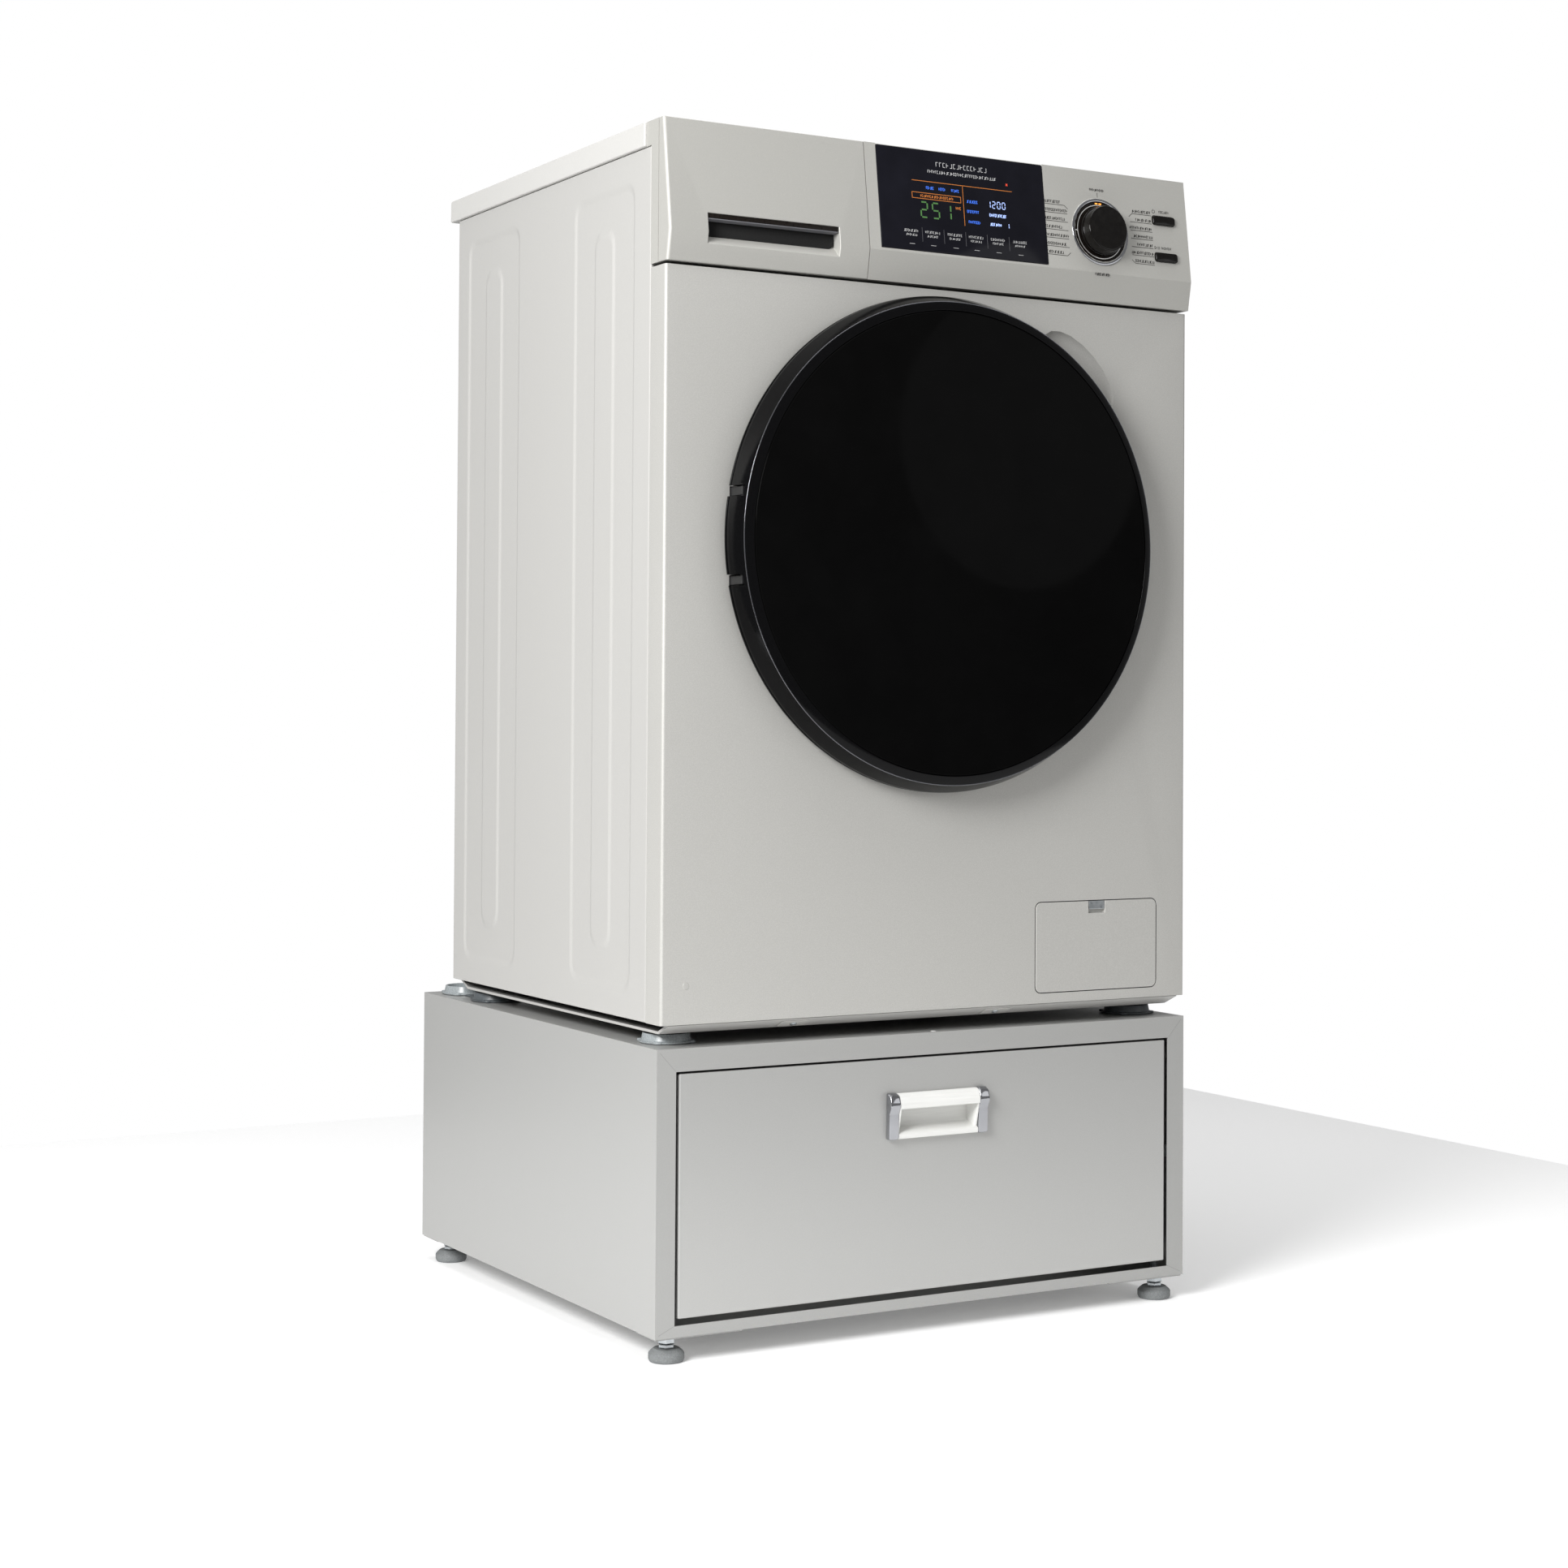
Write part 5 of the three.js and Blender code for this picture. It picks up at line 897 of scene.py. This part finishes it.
# The strokes of one digit of seven bars, with its lower left corner at x, z.
def digitBars(digit, x, z, width, height):
    lit = {
        "0": "abcdef", "1": "bc", "2": "abged", "3": "abgcd", "4": "fgbc", "5": "afgcd", "6": "afgedc",
        "7": "abc", "8": "abcdefg", "9": "abcdfg", "-": "g",
    }[digit]
    middle, trim = z + height / 2, 0.12 * width
    places = {
        "a": (x + trim, z + height, x + width - trim, z + height),
        "b": (x + width, middle + trim, x + width, z + height - trim),
        "c": (x + width, z + trim, x + width, middle - trim),
        "d": (x + trim, z, x + width - trim, z),
        "e": (x, z + trim, x, middle - trim),
        "f": (x, middle + trim, x, z + height - trim),
        "g": (x + trim, middle, x + width - trim, middle),
    }
    return [places[bar] for bar in lit]


def digits(text, x, z, width, height, pitch):
    bars = []
    for i, digit in enumerate(text):
        bars += digitBars(digit, x + i * pitch, z, width, height)
    return bars


# A word drawn as a row of short strokes, so that it reads as print and says nothing.
def printedWord(x, z, length, height, pitch=1.5):
    count = max(2, round(length / pitch))
    draw = np.random.default_rng(round(abs(x * 7 + z * 3)))
    bars = []
    for i in range(count):
        left = x + i * length / count
        kind = draw.integers(0, 4)
        right = left + 0.55 * length / count
        if kind == 0:
            bars += [(left, z, left, z + height), (left, z + height, right, z + height)]
        elif kind == 1:
            bars += [(left, z, right, z), (right, z, right, z + height)]
        elif kind == 2:
            bars += [(left, z, left, z + height), (left, z + height / 2, right, z + height / 2)]
        else:
            top = z + height
            bars += [(left, z, right, z), (left, top, right, top), (left, z, left, top)]
    return bars


def frameBars(x0, z0, x1, z1):
    return [(x0, z0, x1, z0), (x1, z0, x1, z1), (x1, z1, x0, z1), (x0, z1, x0, z0)]


displayBars = {
    "display_lines_amber": (displayAmber, 0.55, [
        (-33, 1105.2, 83, 1105.2), (25, 1065, 25, 1104.5), *frameBars(-33.7, 1087.6, 22, 1093.4),
        *printedWord(16, 1080.5, 6, 2.6), *printedWord(-24, 1089.3, 38, 2.2),
    ]),
    "display_words_blue": (displayBlue, 0.6, [
        *printedWord(-17, 1097.8, 9, 2.4), *printedWord(-2.5, 1097.8, 8, 2.4),
        *printedWord(12, 1097.8, 9, 2.4), *printedWord(29, 1088.8, 13, 2.4),
        *printedWord(29, 1078.8, 14, 2.4), *printedWord(30, 1068.4, 14, 2.4),
    ]),
    "display_digits_green": (displayGreen, 1.5, digits("251", -24.6, 1069.2, 7.4, 15, 13.4)),
    "display_digits_white": (displayWhite, 0.75, [
        *digits("1200", 53, 1086.2, 3.4, 6.6, 5.8),
        *printedWord(55, 1077.6, 20, 2.6), *digits("1", 75, 1067.4, 2, 4.6, 4),
        *printedWord(55, 1068.4, 14, 2.4),
    ]),
    "display_mark_red": (displayRed, 0.7, [(76.4, 1110.6, 78.4, 1112.6), (76.4, 1112.6, 78.4, 1110.6)]),
}
for name, (material, width, bars) in displayBars.items():
    marks(name, bars, width, display["markHeights"], material)

touchKeys = [-37, -12.8, 12.9, 37.3, 63, 88.8]
keyBars = []
for i, x in enumerate(touchKeys):
    keyBars += printedWord(x - 8.4, 1053.4, 16.8, 2.2) + printedWord(x - 6.4, 1049.6, 12.8, 1.8)
    keyBars += [(x - 3, 1041.6, x + 3, 1041.6)]
marks("display_keys_white", keyBars, 0.36, display["markHeights"], whitePrint)
dividers = [((a + b) / 2, 1044.6, (a + b) / 2, 1058.6) for a, b in zip(touchKeys[:-1], touchKeys[1:])]
marks("display_dividers_grey", dividers, 0.3, display["markHeights"], greyPrint)
titles = printedWord(-4, 1121.4, 60, 4.2, 4) + printedWord(-14, 1114.4, 80, 2.6, 2.1)
marks("display_title_white", titles, 0.5, display["markHeights"], whitePrint)
print("display made")


# program dial

dial = {
    "dishRadius": 31.4, "bezelRadius": 34.25, "bezelProud": 1.2, "ringRadius": 27, "ringWidth": 0.8,
    "knobRadius": 25.0, "topRadius": 23.0, "height": 15, "edge": 1.6,
    "lightRise": 29.4, "rise": 70.7,
}
knobLow, knobHigh = place("program_knob")
dialX, dialZ = (knobLow[0] + knobHigh[0]) / 2, foldZ + (dial["rise"] - foldRise) * faceUp[2]
onDial = onPanel(dialX, dialZ)
dish = revolved("dial_dish", roundCorners([
    (0, -0.6), (dial["bezelRadius"] - 0.6, -0.6),
    (dial["dishRadius"] + 0.6, 0.25), (dial["dishRadius"] - 1.4, 0.25),
    (dial["ringRadius"], 0.08), (0, 0.08),
], 0.1), onDial, 160)
finish(dish, "case", dialBlack)
bezel = revolved("dial_bezel_ring", closedRound([
    (dial["dishRadius"] - 0.1, 0.2), (dial["bezelRadius"], 0.2), (dial["bezelRadius"], dial["bezelProud"]),
    (dial["dishRadius"] - 0.1, dial["bezelProud"]),
], 0.5), onDial, 160)
finish(bezel, "case", chrome)
innerRing = revolved("dial_inner_ring", closedRound([
    (dial["ringRadius"], 0.26), (dial["ringRadius"] + dial["ringWidth"], 0.26),
    (dial["ringRadius"] + dial["ringWidth"], 0.5), (dial["ringRadius"], 0.5),
], 0.1), onDial, 160)
finish(innerRing, "case", satinAluminium)
knob = revolved("program_knob_cap", roundCorners([
    (0, 1.7), (dial["knobRadius"], 1.7), (dial["knobRadius"] - 0.3, 6), (dial["topRadius"], dial["height"]),
    (dial["topRadius"] - 2.6, dial["height"] - 0.1), (0, dial["height"] - 0.5),
], [0, 0.3, 4, dial["edge"], 2, 0]), onDial, 160)
finish(knob, "program_knob", glossBlack, ["program_knob"], smooth=50)


# Points round the dial at an angle from its top, clockwise, in x and z.
def dialPoint(radius, degrees):
    turn = math.radians(degrees)
    return dialX + radius * math.sin(turn), dialZ + radius * math.cos(turn) * faceUp[2]


marks("dial_pointer_white", [(*dialPoint(30.6, 270), *dialPoint(28.2, 270))], 0.9, (0.3, 0.5), whitePrint)
lightZ = dialZ + dial["lightRise"]
lightBars = [(dialX + way * 0.8, lightZ, dialX + way * 3.8, lightZ) for way in (-1, 1)]
marks("dial_light_orange", lightBars, 1.2, (0.3, 0.55), displayOrange)

# the dial's labels: printed words with an underline on each side, the outer two bent towards the dial
label = {
    "count": 7, "top": 25.4, "pitch": 8.6, "reach": 66, "gap": 4.5, "endGap": 7.5, "lineDrop": 1.6,
    "bend": (4, 3.4), "height": 2.4, "above": 42.6, "below": -44.4, "half": 9, "tick": (36.2, 41),
}
labelBars = []
lineBars = []
for way in (-1, 1):
    for i in range(label["count"]):
        z = dialZ + label["top"] - i * label["pitch"]
        lineZ = z - label["lineDrop"]
        atEnd = i in (0, label["count"] - 1)
        nearX = dialX + way * (dial["bezelRadius"] + label["endGap" if atEnd else "gap"])
        farX = dialX + way * label["reach"]
        lineBars.append((min(nearX, farX), lineZ, max(nearX, farX), lineZ))
        if atEnd:
            turn = 1 if i == 0 else -1
            lineBars.append((nearX, lineZ, nearX - way * label["bend"][0], lineZ - turn * label["bend"][1]))
        length = 20 + 4 * ((i * 5 + (way > 0)) % 3)
        start = farX if way < 0 else farX - length
        labelBars += printedWord(start, z, length, label["height"], 1.6)
for rise in (label["above"], label["below"]):
    labelBars += printedWord(dialX - label["half"], dialZ + rise, 2 * label["half"], 2.2, 1.5)
lineBars.append((dialX, dialZ + label["tick"][0], dialX, dialZ + label["tick"][1]))
marks("dial_label_print", labelBars, 0.62, (0.03, 0.08), darkPrint)
marks("dial_line_print", lineBars, 0.5, (0.03, 0.08), darkPrint)

# the drawer's grab pocket: a dark grip bar across its mouth, and behind it a flat black plate of painted
# shade for the pocket's shadowed inside
pocket = {
    "left": -257.1, "right": -117.9, "top": 1060.6, "barLow": 1045.6, "shadeLow": 1030,
    "barDepth": (-9, -1.4), "shadeDepth": (-14, -11), "corner": 1.2, "shadeCorner": 10, "ledge": 0.9,
}
pocketWide = pocket["right"] - pocket["left"]
for name, low, depth, corner, material in (
    ("grab_bar", pocket["barLow"], pocket["barDepth"], pocket["corner"], dialBlack),
    # painted shade: a flat black plate behind the grip bar, where the pocket's shadow falls
    ("grab_pocket_painted_shade", pocket["shadeLow"], pocket["shadeDepth"], pocket["shadeCorner"], shadowGap),
):
    piece = plate(
        name, (0, 0), (pocketWide, (pocket["top"] - low) / faceUp[2]), corner, depth, 0.5,
        onPanel(pocket["left"], low),
    )
    finish(piece, "detergent_drawer", material, smooth=40)
ledge = plate(
    "grab_bar_ledge", (0.4, 0), (pocketWide - 0.4, pocket["ledge"]), 0.3, (-9, -1.2), 0.2,
    onPanel(pocket["left"], pocket["barLow"] - pocket["ledge"] - 0.1),
)
finish(ledge, "detergent_drawer", greyPrint, smooth=40)

# power and start buttons with their marks
button = {
    "half": (13.7, 4.7), "corner": 2.8, "proud": 2.5, "body": 6, "edge": 0.9,
    "powerRise": 89.6, "startRise": 51.3,
}
buttonMark = {"rise": 10.1, "powerX": 256.5, "arcRadius": 1.8, "arcHalf": 140, "playX": 255, "half": 1.5}
buttonX = (place("power_button")[0][0] + place("power_button")[1][0]) / 2
for node, up in (("power_button", button["powerRise"]), ("start_button", button["startRise"])):
    z = foldZ + (up - foldRise) * faceUp[2]
    half = np.array(button["half"])
    cap = plate(
        node + "_cap", -half, half, button["corner"], (-button["body"], button["proud"]), button["edge"],
        onPanel(buttonX, z),
    )
    finish(cap, node, glossBlack, [node], smooth=50)
    markZ = z + buttonMark["rise"]
    if node == "power_button":  # an arc open at the top, with an upright stroke in the opening
        arc = np.radians(np.arange(-buttonMark["arcHalf"], buttonMark["arcHalf"] + 1, 20))
        x, r = buttonMark["powerX"], buttonMark["arcRadius"]
        points = list(zip(x + r * np.sin(arc), markZ - r * np.cos(arc)))
        bars = [(*a, *b) for a, b in zip(points[:-1], points[1:])]
        bars += [(x, markZ + 0.3, x, markZ + 2.4)]
    else:  # a triangle and two upright strokes
        x, low, high = buttonMark["playX"], markZ - buttonMark["half"], markZ + buttonMark["half"]
        bars = [(x, low, x, high), (x, high, x + 2.6, markZ), (x + 2.6, markZ, x, low)]
        bars += [(x + along, low, x + along, high) for along in (4.2, 5.6)]
    bars += printedWord(263.5, markZ - 1.1, 13, 2.2, 1.5)
    marks(node + "_print", bars, 0.5, (0.01, 0.05), darkPrint)
print("dial and buttons made")


# drawer pull and chrome ends

pull = {
    "bottom": -5.4, "hood": -9.1, "wall": 1.6, "floorRise": 5, "hoodDrop": 14.5, "depth": 14.2,
    "capProud": 0.5,
}
pullLow, pullHigh = place("drawer_pull")
face = 0.0
lowZ, highZ = pullLow[2], pullHigh[2]
hoodZ = highZ - pull["hoodDrop"]
pullProfile = [
    (face, lowZ), (pull["bottom"] + 0.6, lowZ), (pull["bottom"], lowZ + 2), (pull["bottom"], lowZ + 4.4),
    (pull["bottom"] + 2.6, lowZ + 6), (pull["depth"] - 2, lowZ + 9.6), (pull["depth"] - 1.6, highZ - 4),
    (-2, highZ - 4), (-5.6, highZ - 7), (pull["hood"] + 2.2, hoodZ), (pull["hood"] + 0.3, hoodZ + 0.1),
    (pull["hood"], highZ - 9), (pull["hood"] + 2.2, highZ - 2.4), (-3, highZ), (face, highZ),
    (face, highZ - 2.4), (pull["depth"], highZ - 2.4), (pull["depth"], lowZ + 8), (face, lowZ + 3.4),
]
pullRounding = [0, 0.6, 0.8, 1, 1.2, 3, 2, 2, 3, 0.6, 0.8, 5, 4, 1, 0, 0, 0.4, 0.4, 0]
pullOutline = closedRound(pullProfile, pullRounding)
finish(
    ruled("pull_hood", [(pullOutline, pullLow[0]), (pullOutline, pullHigh[0])], aboutX([0, front, 0])),
    "pedestal_drawer", pullAluminium, ["drawer_pull"], smooth=32,
)
for i, x in enumerate((pullLow[0] + 0.1, pullHigh[0] - 1.7)):
    wallOutline = closedRound([
        (0, lowZ + 4), (pull["depth"] - 0.4, lowZ + 6), (pull["depth"] - 0.4, highZ - 3), (-3.4, highZ - 2.2),
        (pull["hood"] + 1.4, highZ - 5), (pull["hood"] + 1.2, hoodZ + 2), (-2.6, lowZ + 5),
    ], 1)
    finish(
        ruled(
            "pull_end_wall_%d" % (i + 1), [(wallOutline, x), (wallOutline, x + pull["wall"])],
            aboutX([0, front, 0]),
        ),
        "pedestal_drawer", pullAluminium,
    )
for word in ("left", "right"):
    capLow, capHigh = place("pull_cap_" + word)
    outline = np.array([
        (-0.1, capLow[2]), (pull["bottom"] - pull["capProud"], capLow[2]),
        (pull["bottom"] - pull["capProud"], hoodZ - 4), (pull["hood"] - pull["capProud"], hoodZ + 3),
        (pull["hood"] - pull["capProud"], highZ - 8), (pull["hood"] + 2, highZ - 1.4), (-3, capHigh[2]),
        (-0.1, capHigh[2]),
    ])
    capRounding = [0, 1.6, 4, 4, 5, 3, 3, 0]
    middle = np.array([-4, (capLow[2] + capHigh[2]) / 2])
    levels = []
    for t in np.linspace(0, math.pi / 2, 5):
        shrink = 1 - (1 - math.sin(t)) * 0.07
        shrunk = closedRound(middle + (outline - middle) * shrink, capRounding)
        levels.append((shrunk, 1.4 * (1 - math.cos(t))))
    depth = capHigh[0] - capLow[0]
    levels += [(outlineAt, depth - height) for outlineAt, height in reversed(levels)]
    for outlineAt, _ in levels:
        outlineAt[:, 0] = np.minimum(outlineAt[:, 0], -0.1)
    cap = ruled("pull_chrome_end_" + word, levels, aboutX([capLow[0], front, 0]))
    finish(cap, "pedestal_drawer", chrome, ["pull_cap_" + word], smooth=40)
print("pull made")


# feet, cups and small fittings

foot = {
    "pad": 16.6, "padHeight": 12, "nut": 8.4, "stud": 4.6, "pitch": 1.25, "threadDepth": 0.45,
}


# A six sided nut: its outline is a hexagon at both ends, cut back by a small chamfer.
def nut(name, centre, radius, low, high):
    turn = np.arange(6) * math.pi / 3
    hexagon = np.column_stack([np.cos(turn), np.sin(turn)])
    levels = [(hexagon * radius * share, z) for share, z in (
        (0.93, low), (1, low + 0.7), (1, high - 0.7), (0.93, high),
    )]
    piece = ruled(name, levels, aboutZ([centre[0], centre[1], 0]))
    return finish(piece, "case", zincPlate, smooth=25)


# A threaded stud: its radius is a triangle wave along its length.
def stud(name, centre, radius, low, high):
    turns = int((high - low) / foot["pitch"] * 2)
    zs = np.linspace(low, high, turns + 1)
    rs = radius - foot["threadDepth"] * (np.arange(turns + 1) % 2)
    profile = [(0, low), *zip(rs, zs), (0, high)]
    piece = revolved(name, profile, aboutZ([centre[0], centre[1], 0]), 48)
    return finish(piece, "case", zincPlate, smooth=20)


for spot in ("front_left", "front_right", "rear_left", "rear_right"):
    node = "pedestal_foot_" + spot
    low, high = place(node)
    centre = (low + high) / 2
    r, h = foot["pad"], foot["padHeight"]
    pad = revolved("pedestal_foot_pad_" + spot, roundCorners([
        (0, 0), (r - 1.2, 0), (r, 2.4), (r, 7.6), (r - 1.6, 9.4), (r - 4.6, h), (0, h),
    ], [0, 0.8, 2, 2, 2, 1.4, 0]), aboutZ([centre[0], centre[1], 0]), 96)
    finish(pad, "case", greyRubber, [node], smooth=50)
    nut("pedestal_foot_nut_" + spot, centre, foot["nut"], h + 4.4, h + 10.4)
    nut("pedestal_foot_flange_" + spot, centre, foot["nut"] * 0.92, h + 0.1, h + 3.6)
    stud("pedestal_foot_stud_" + spot, centre, foot["stud"], h + 0.1, high[2])

    node = "washer_foot_" + spot
    low, high = place(node)
    centre = (low + high) / 2
    r = (high[0] - low[0]) / 2
    top = low[2] + 7.4
    rubber = revolved("washer_foot_pad_" + spot, roundCorners([
        (0, low[2]), (r - 1, low[2]), (r, low[2] + 1.6), (r - 1, top - 3), (8, top), (0, top),
    ], [0, 0.6, 1, 1.4, 1, 0]), aboutZ([centre[0], centre[1], 0]), 96)
    finish(rubber, "case", blackRubber, [node], smooth=50)
    stud("washer_foot_stud_" + spot, centre, 5, top, high[2])

cup = {
    "ring": 22, "wall": 2, "height": 9, "flange": 28.2, "flangeThickness": 1.6, "earRadius": 5.4, "ears": 4,
}


# The cup's floor, ring and flange in one turned profile, with a small lug on the flange at each quarter.
def footCup(name, x, y, low, material, replaced=()):
    r, w, f = cup["ring"], cup["wall"], cup["flange"]
    profile = roundCorners([
        (0, low), (f - 3, low), (f - 1.6, low + cup["flangeThickness"]),
        (r + 1.4, low + cup["flangeThickness"] + 0.4), (r, low + cup["height"]), (r - w, low + cup["height"]),
        (r - w, low + 2), (0, low + 2),
    ], [0, 0.4, 0.5, 1.4, 0.8, 0.8, 0.8, 0])
    piece = revolved(name, profile, aboutZ([x, y, 0]), 128)
    finish(piece, "case", material, replaced, smooth=40)
    for i in range(cup["ears"]):
        turn = math.pi / 4 + i * math.pi / 2
        reach = f - cup["earRadius"] - 0.1
        lug = revolved("%s_lug_%d" % (name, i + 1), roundCorners([
            (0, low + 0.2), (cup["earRadius"], low + 0.2), (cup["earRadius"], low + 2.4), (0, low + 2.4),
        ], [0, 0.3, 0.8, 0]), aboutZ([x + reach * math.cos(turn), y + reach * math.sin(turn), 0]), 40)
        finish(lug, "case", material, smooth=40)


for spot in ("front_left", "front_right", "rear_left", "rear_right"):
    node = "foot_cup_" + spot
    low, high = place(node)
    x = (low[0] + high[0]) / 2
    material = paleCupPlastic if spot == "front_left" else cupPlastic
    half = (high[0] - low[0]) / 2
    footCup("foot_ring_" + spot, x, low[1] + half, low[2], material, [node])
    if spot.startswith("rear"):
        footCup("spare_ring_" + spot, x, high[1] - half, low[2], paleCupPlastic)
        bridge = plate(
            "foot_ring_bridge_" + spot, (x - 12, low[1] + half + 24), (x + 12, high[1] - half - 24), 2,
            (low[2] + 0.1, low[2] + 1.5), 0.4, aboutZ([0, 0, 0]),
        )
        finish(bridge, "case", cupPlastic)
print("feet made")

# Base tray fittings: two screwed tabs that hang on the front lip, following its slope back, a rivet on
# the pedestal and a small cap on the front steel.
fitting = {
    "tabs": (-153.5, 73.7), "tabHalf": 15, "tabThickness": 0.8, "slope": (20.0, -9.7), "along": (4.5, 18.5),
    "screw": 3.4, "screwProud": 1.3, "screwAlong": 11.5, "rivet": 2.6,
}
lipLength = math.hypot(*fitting["slope"])
lipWay = np.array([0, fitting["slope"][0], fitting["slope"][1]]) / lipLength
lipOut = np.array([0, lipWay[2], -lipWay[1]])
lipStart = np.array([0, front - 2.4, washerLow[2] - 0.3])


# The base's front lip: a runs along X, b down the slope, and height out of it.
def onLip(x):
    return lambda p: lipStart + [x, 0, 0] + p[:, :1] * [1, 0, 0] + p[:, 1:2] * lipWay + p[:, 2:] * lipOut


for i, x in enumerate(fitting["tabs"]):
    half, (near, far) = fitting["tabHalf"], fitting["along"]
    heights = (-0.3, fitting["tabThickness"])
    tab = plate("base_tab_%d" % (i + 1), (-half, near), (half, far), 2, heights, 0.3, onLip(x))
    finish(tab, "case", silverPaint, smooth=40)
    r, high = fitting["screw"], fitting["screwProud"]
    screw = revolved("base_tab_screw_%d" % (i + 1), roundCorners([
        (0, 0.5), (r, 0.5), (r, high), (r - 0.9, high + 0.7),
        (1.1, high + 0.7), (0.9, high + 0.2), (0, high + 0.2),
    ], [0, 0.2, 0.7, 0.7, 0.2, 0.1, 0]), lambda p, x=x: onLip(x)(p + [0, fitting["screwAlong"], 0]), 40)
    finish(screw, "case", zincPlate, smooth=50)
flapLow, flapHigh = place("filter_flap")
# painted shade: a thin flat black frame filling the gap round the filter flap, where its shadow falls
flapRim = {"gap": 0.1, "width": 0.7, "corner": 7.4, "depth": (0.02, 1.4)}
shade = rimLine(
    "flap_gap_painted_shade",
    (flapLow[0] - flapRim["gap"], flapLow[2] - flapRim["gap"]),
    (flapHigh[0] + flapRim["gap"], flapHigh[2] + flapRim["gap"]),
    flapRim["corner"], flapRim["width"], [washerLow[1] + depth for depth in flapRim["depth"]],
)
finish(shade, "case", shadowGap, smooth=40)
caseTop = shellHigh[2]
rivet = revolved("pedestal_top_rivet", roundCorners([
    (0, caseTop - 0.4), (fitting["rivet"], caseTop - 0.4), (fitting["rivet"], caseTop + 0.25),
    (0, caseTop + 0.3),
], [0, 0.1, 0.3, 0]), aboutZ([2, front + 7, 0]), 48)
finish(rivet, "case", whitePlastic)
dimple = revolved("front_leg_cap", roundCorners([
    (0, 0), (3.4, 0), (3.1, -0.28), (0, -0.3),
], [0, 0.1, 0.2, 0]), aboutY([-272, washerLow[1], 343]), 48)
finish(dimple, "case", silverPaint)

# mitre seams of the pedestal's front frame: hairlines from each inner corner to the outer one
seam = {"width": 0.45, "proud": 0.05, "inner": (280, 35.4, 265.0), "corner": 3.2}
seamParts = []
for way in (-1, 1):
    for inner, outer in ((seam["inner"][2], shellHigh[2]), (seam["inner"][1], shellLow[2] + 1.5)):
        start = np.array([way * seam["inner"][0], inner])
        endZ = outer - math.copysign(seam["corner"], outer - inner)
        end = np.array([way * (shellHigh[0] - seam["corner"]), endZ])
        along = (end - start) / np.linalg.norm(end - start)
        across = np.array([-along[1], along[0]]) * seam["width"] / 2
        corners = []
        for point in (start, end):
            for height in (front - seam["proud"], front + 0.4):
                for s in (-1, 1):
                    x, z = point + s * across
                    corners.append([x, height, z])
        seamParts.append(np.array(corners))
finish(gathered("pedestal_mitre_seams", seamParts), "case", seamShade)
print("fittings made")


# floor, light and camera

stage = {"floorHalf": 1250, "floorDrop": 0.2, "backdrop": 1.0, "roomLight": 0.30}
half, drop = stage["floorHalf"], stage["floorDrop"]
floor = makeMesh("studio_floor", [
    (-half, -half, -drop), (half, -half, -drop), (half, half, -drop), (-half, half, -drop),
], [[0, 1, 2, 3]])
floor.data.materials.append(floorPaper)

# a white backdrop that lights the object more softly than it shows
world = bpy.data.worlds.new("pale studio")
bpy.context.scene.world = world
world.use_nodes = True
tree = world.node_tree
tree.nodes.clear()
path = addNode(tree, "ShaderNodeLightPath")
strength = addNode(tree, "ShaderNodeMapRange", {
    "Value": path.outputs["Is Camera Ray"], "To Min": stage["roomLight"], "To Max": stage["backdrop"],
})
room = addNode(tree, "ShaderNodeBackground", {
    "Color": linear("#ffffff"), "Strength": strength.outputs["Result"],
})
addNode(tree, "ShaderNodeOutputWorld", {"Surface": room.outputs["Background"]})

lamps = {
    "key light": {"at": (-2100, -1300, 1600), "size": 1100, "watts": 80},
    "fill light": {"at": (2400, -3200, 1500), "size": 1500, "watts": 6},
    "top light": {"at": (0, -200, 3600), "size": 3400, "watts": 66},
}
for name, lamp in lamps.items():
    data = bpy.data.lights.new(name, "AREA")
    data.shape = "DISK"
    data.size = lamp["size"] * mm
    data.energy = lamp["watts"]
    light = bpy.data.objects.new(name, data)
    light.location = Vector(lamp["at"]) * mm
    aim = Vector((0, 0, 0.6)) - light.location
    light.rotation_euler = aim.to_track_quat("-Z", "Y").to_euler()
    bpy.context.scene.collection.objects.link(light)

camera = {
    "lens": 61.73, "azimuth": -30.04, "elevation": -1.061, "roll": 0.347, "at": (-1407.6, -2178.0, 596.9),
    "shift": (-0.0130, -0.0803),
}
data = bpy.data.cameras.new("camera")
data.lens = camera["lens"]
data.sensor_width = 36
data.shift_x, data.shift_y = camera["shift"]
data.clip_start = 0.05
data.clip_end = 100
cameraObject = bpy.data.objects.new("camera", data)
a, e, tilt = (math.radians(camera[k]) for k in ("azimuth", "elevation", "roll"))
back = Vector((math.sin(a) * math.cos(e), -math.cos(a) * math.cos(e), math.sin(e)))
right = Vector((math.cos(a), math.sin(a), 0))
up = back.cross(right)
across = math.cos(tilt) * right + math.sin(tilt) * up
upright = -math.sin(tilt) * right + math.cos(tilt) * up
x, y, z = camera["at"]
turned = Matrix((across, upright, back)).transposed().to_4x4()
cameraObject.matrix_world = Matrix.Translation(Vector((x, y + front, z)) * mm) @ turned
bpy.context.scene.collection.objects.link(cameraObject)
bpy.context.scene.camera = cameraObject
bpy.context.scene.view_settings.view_transform = "Standard"
print("stage ready")
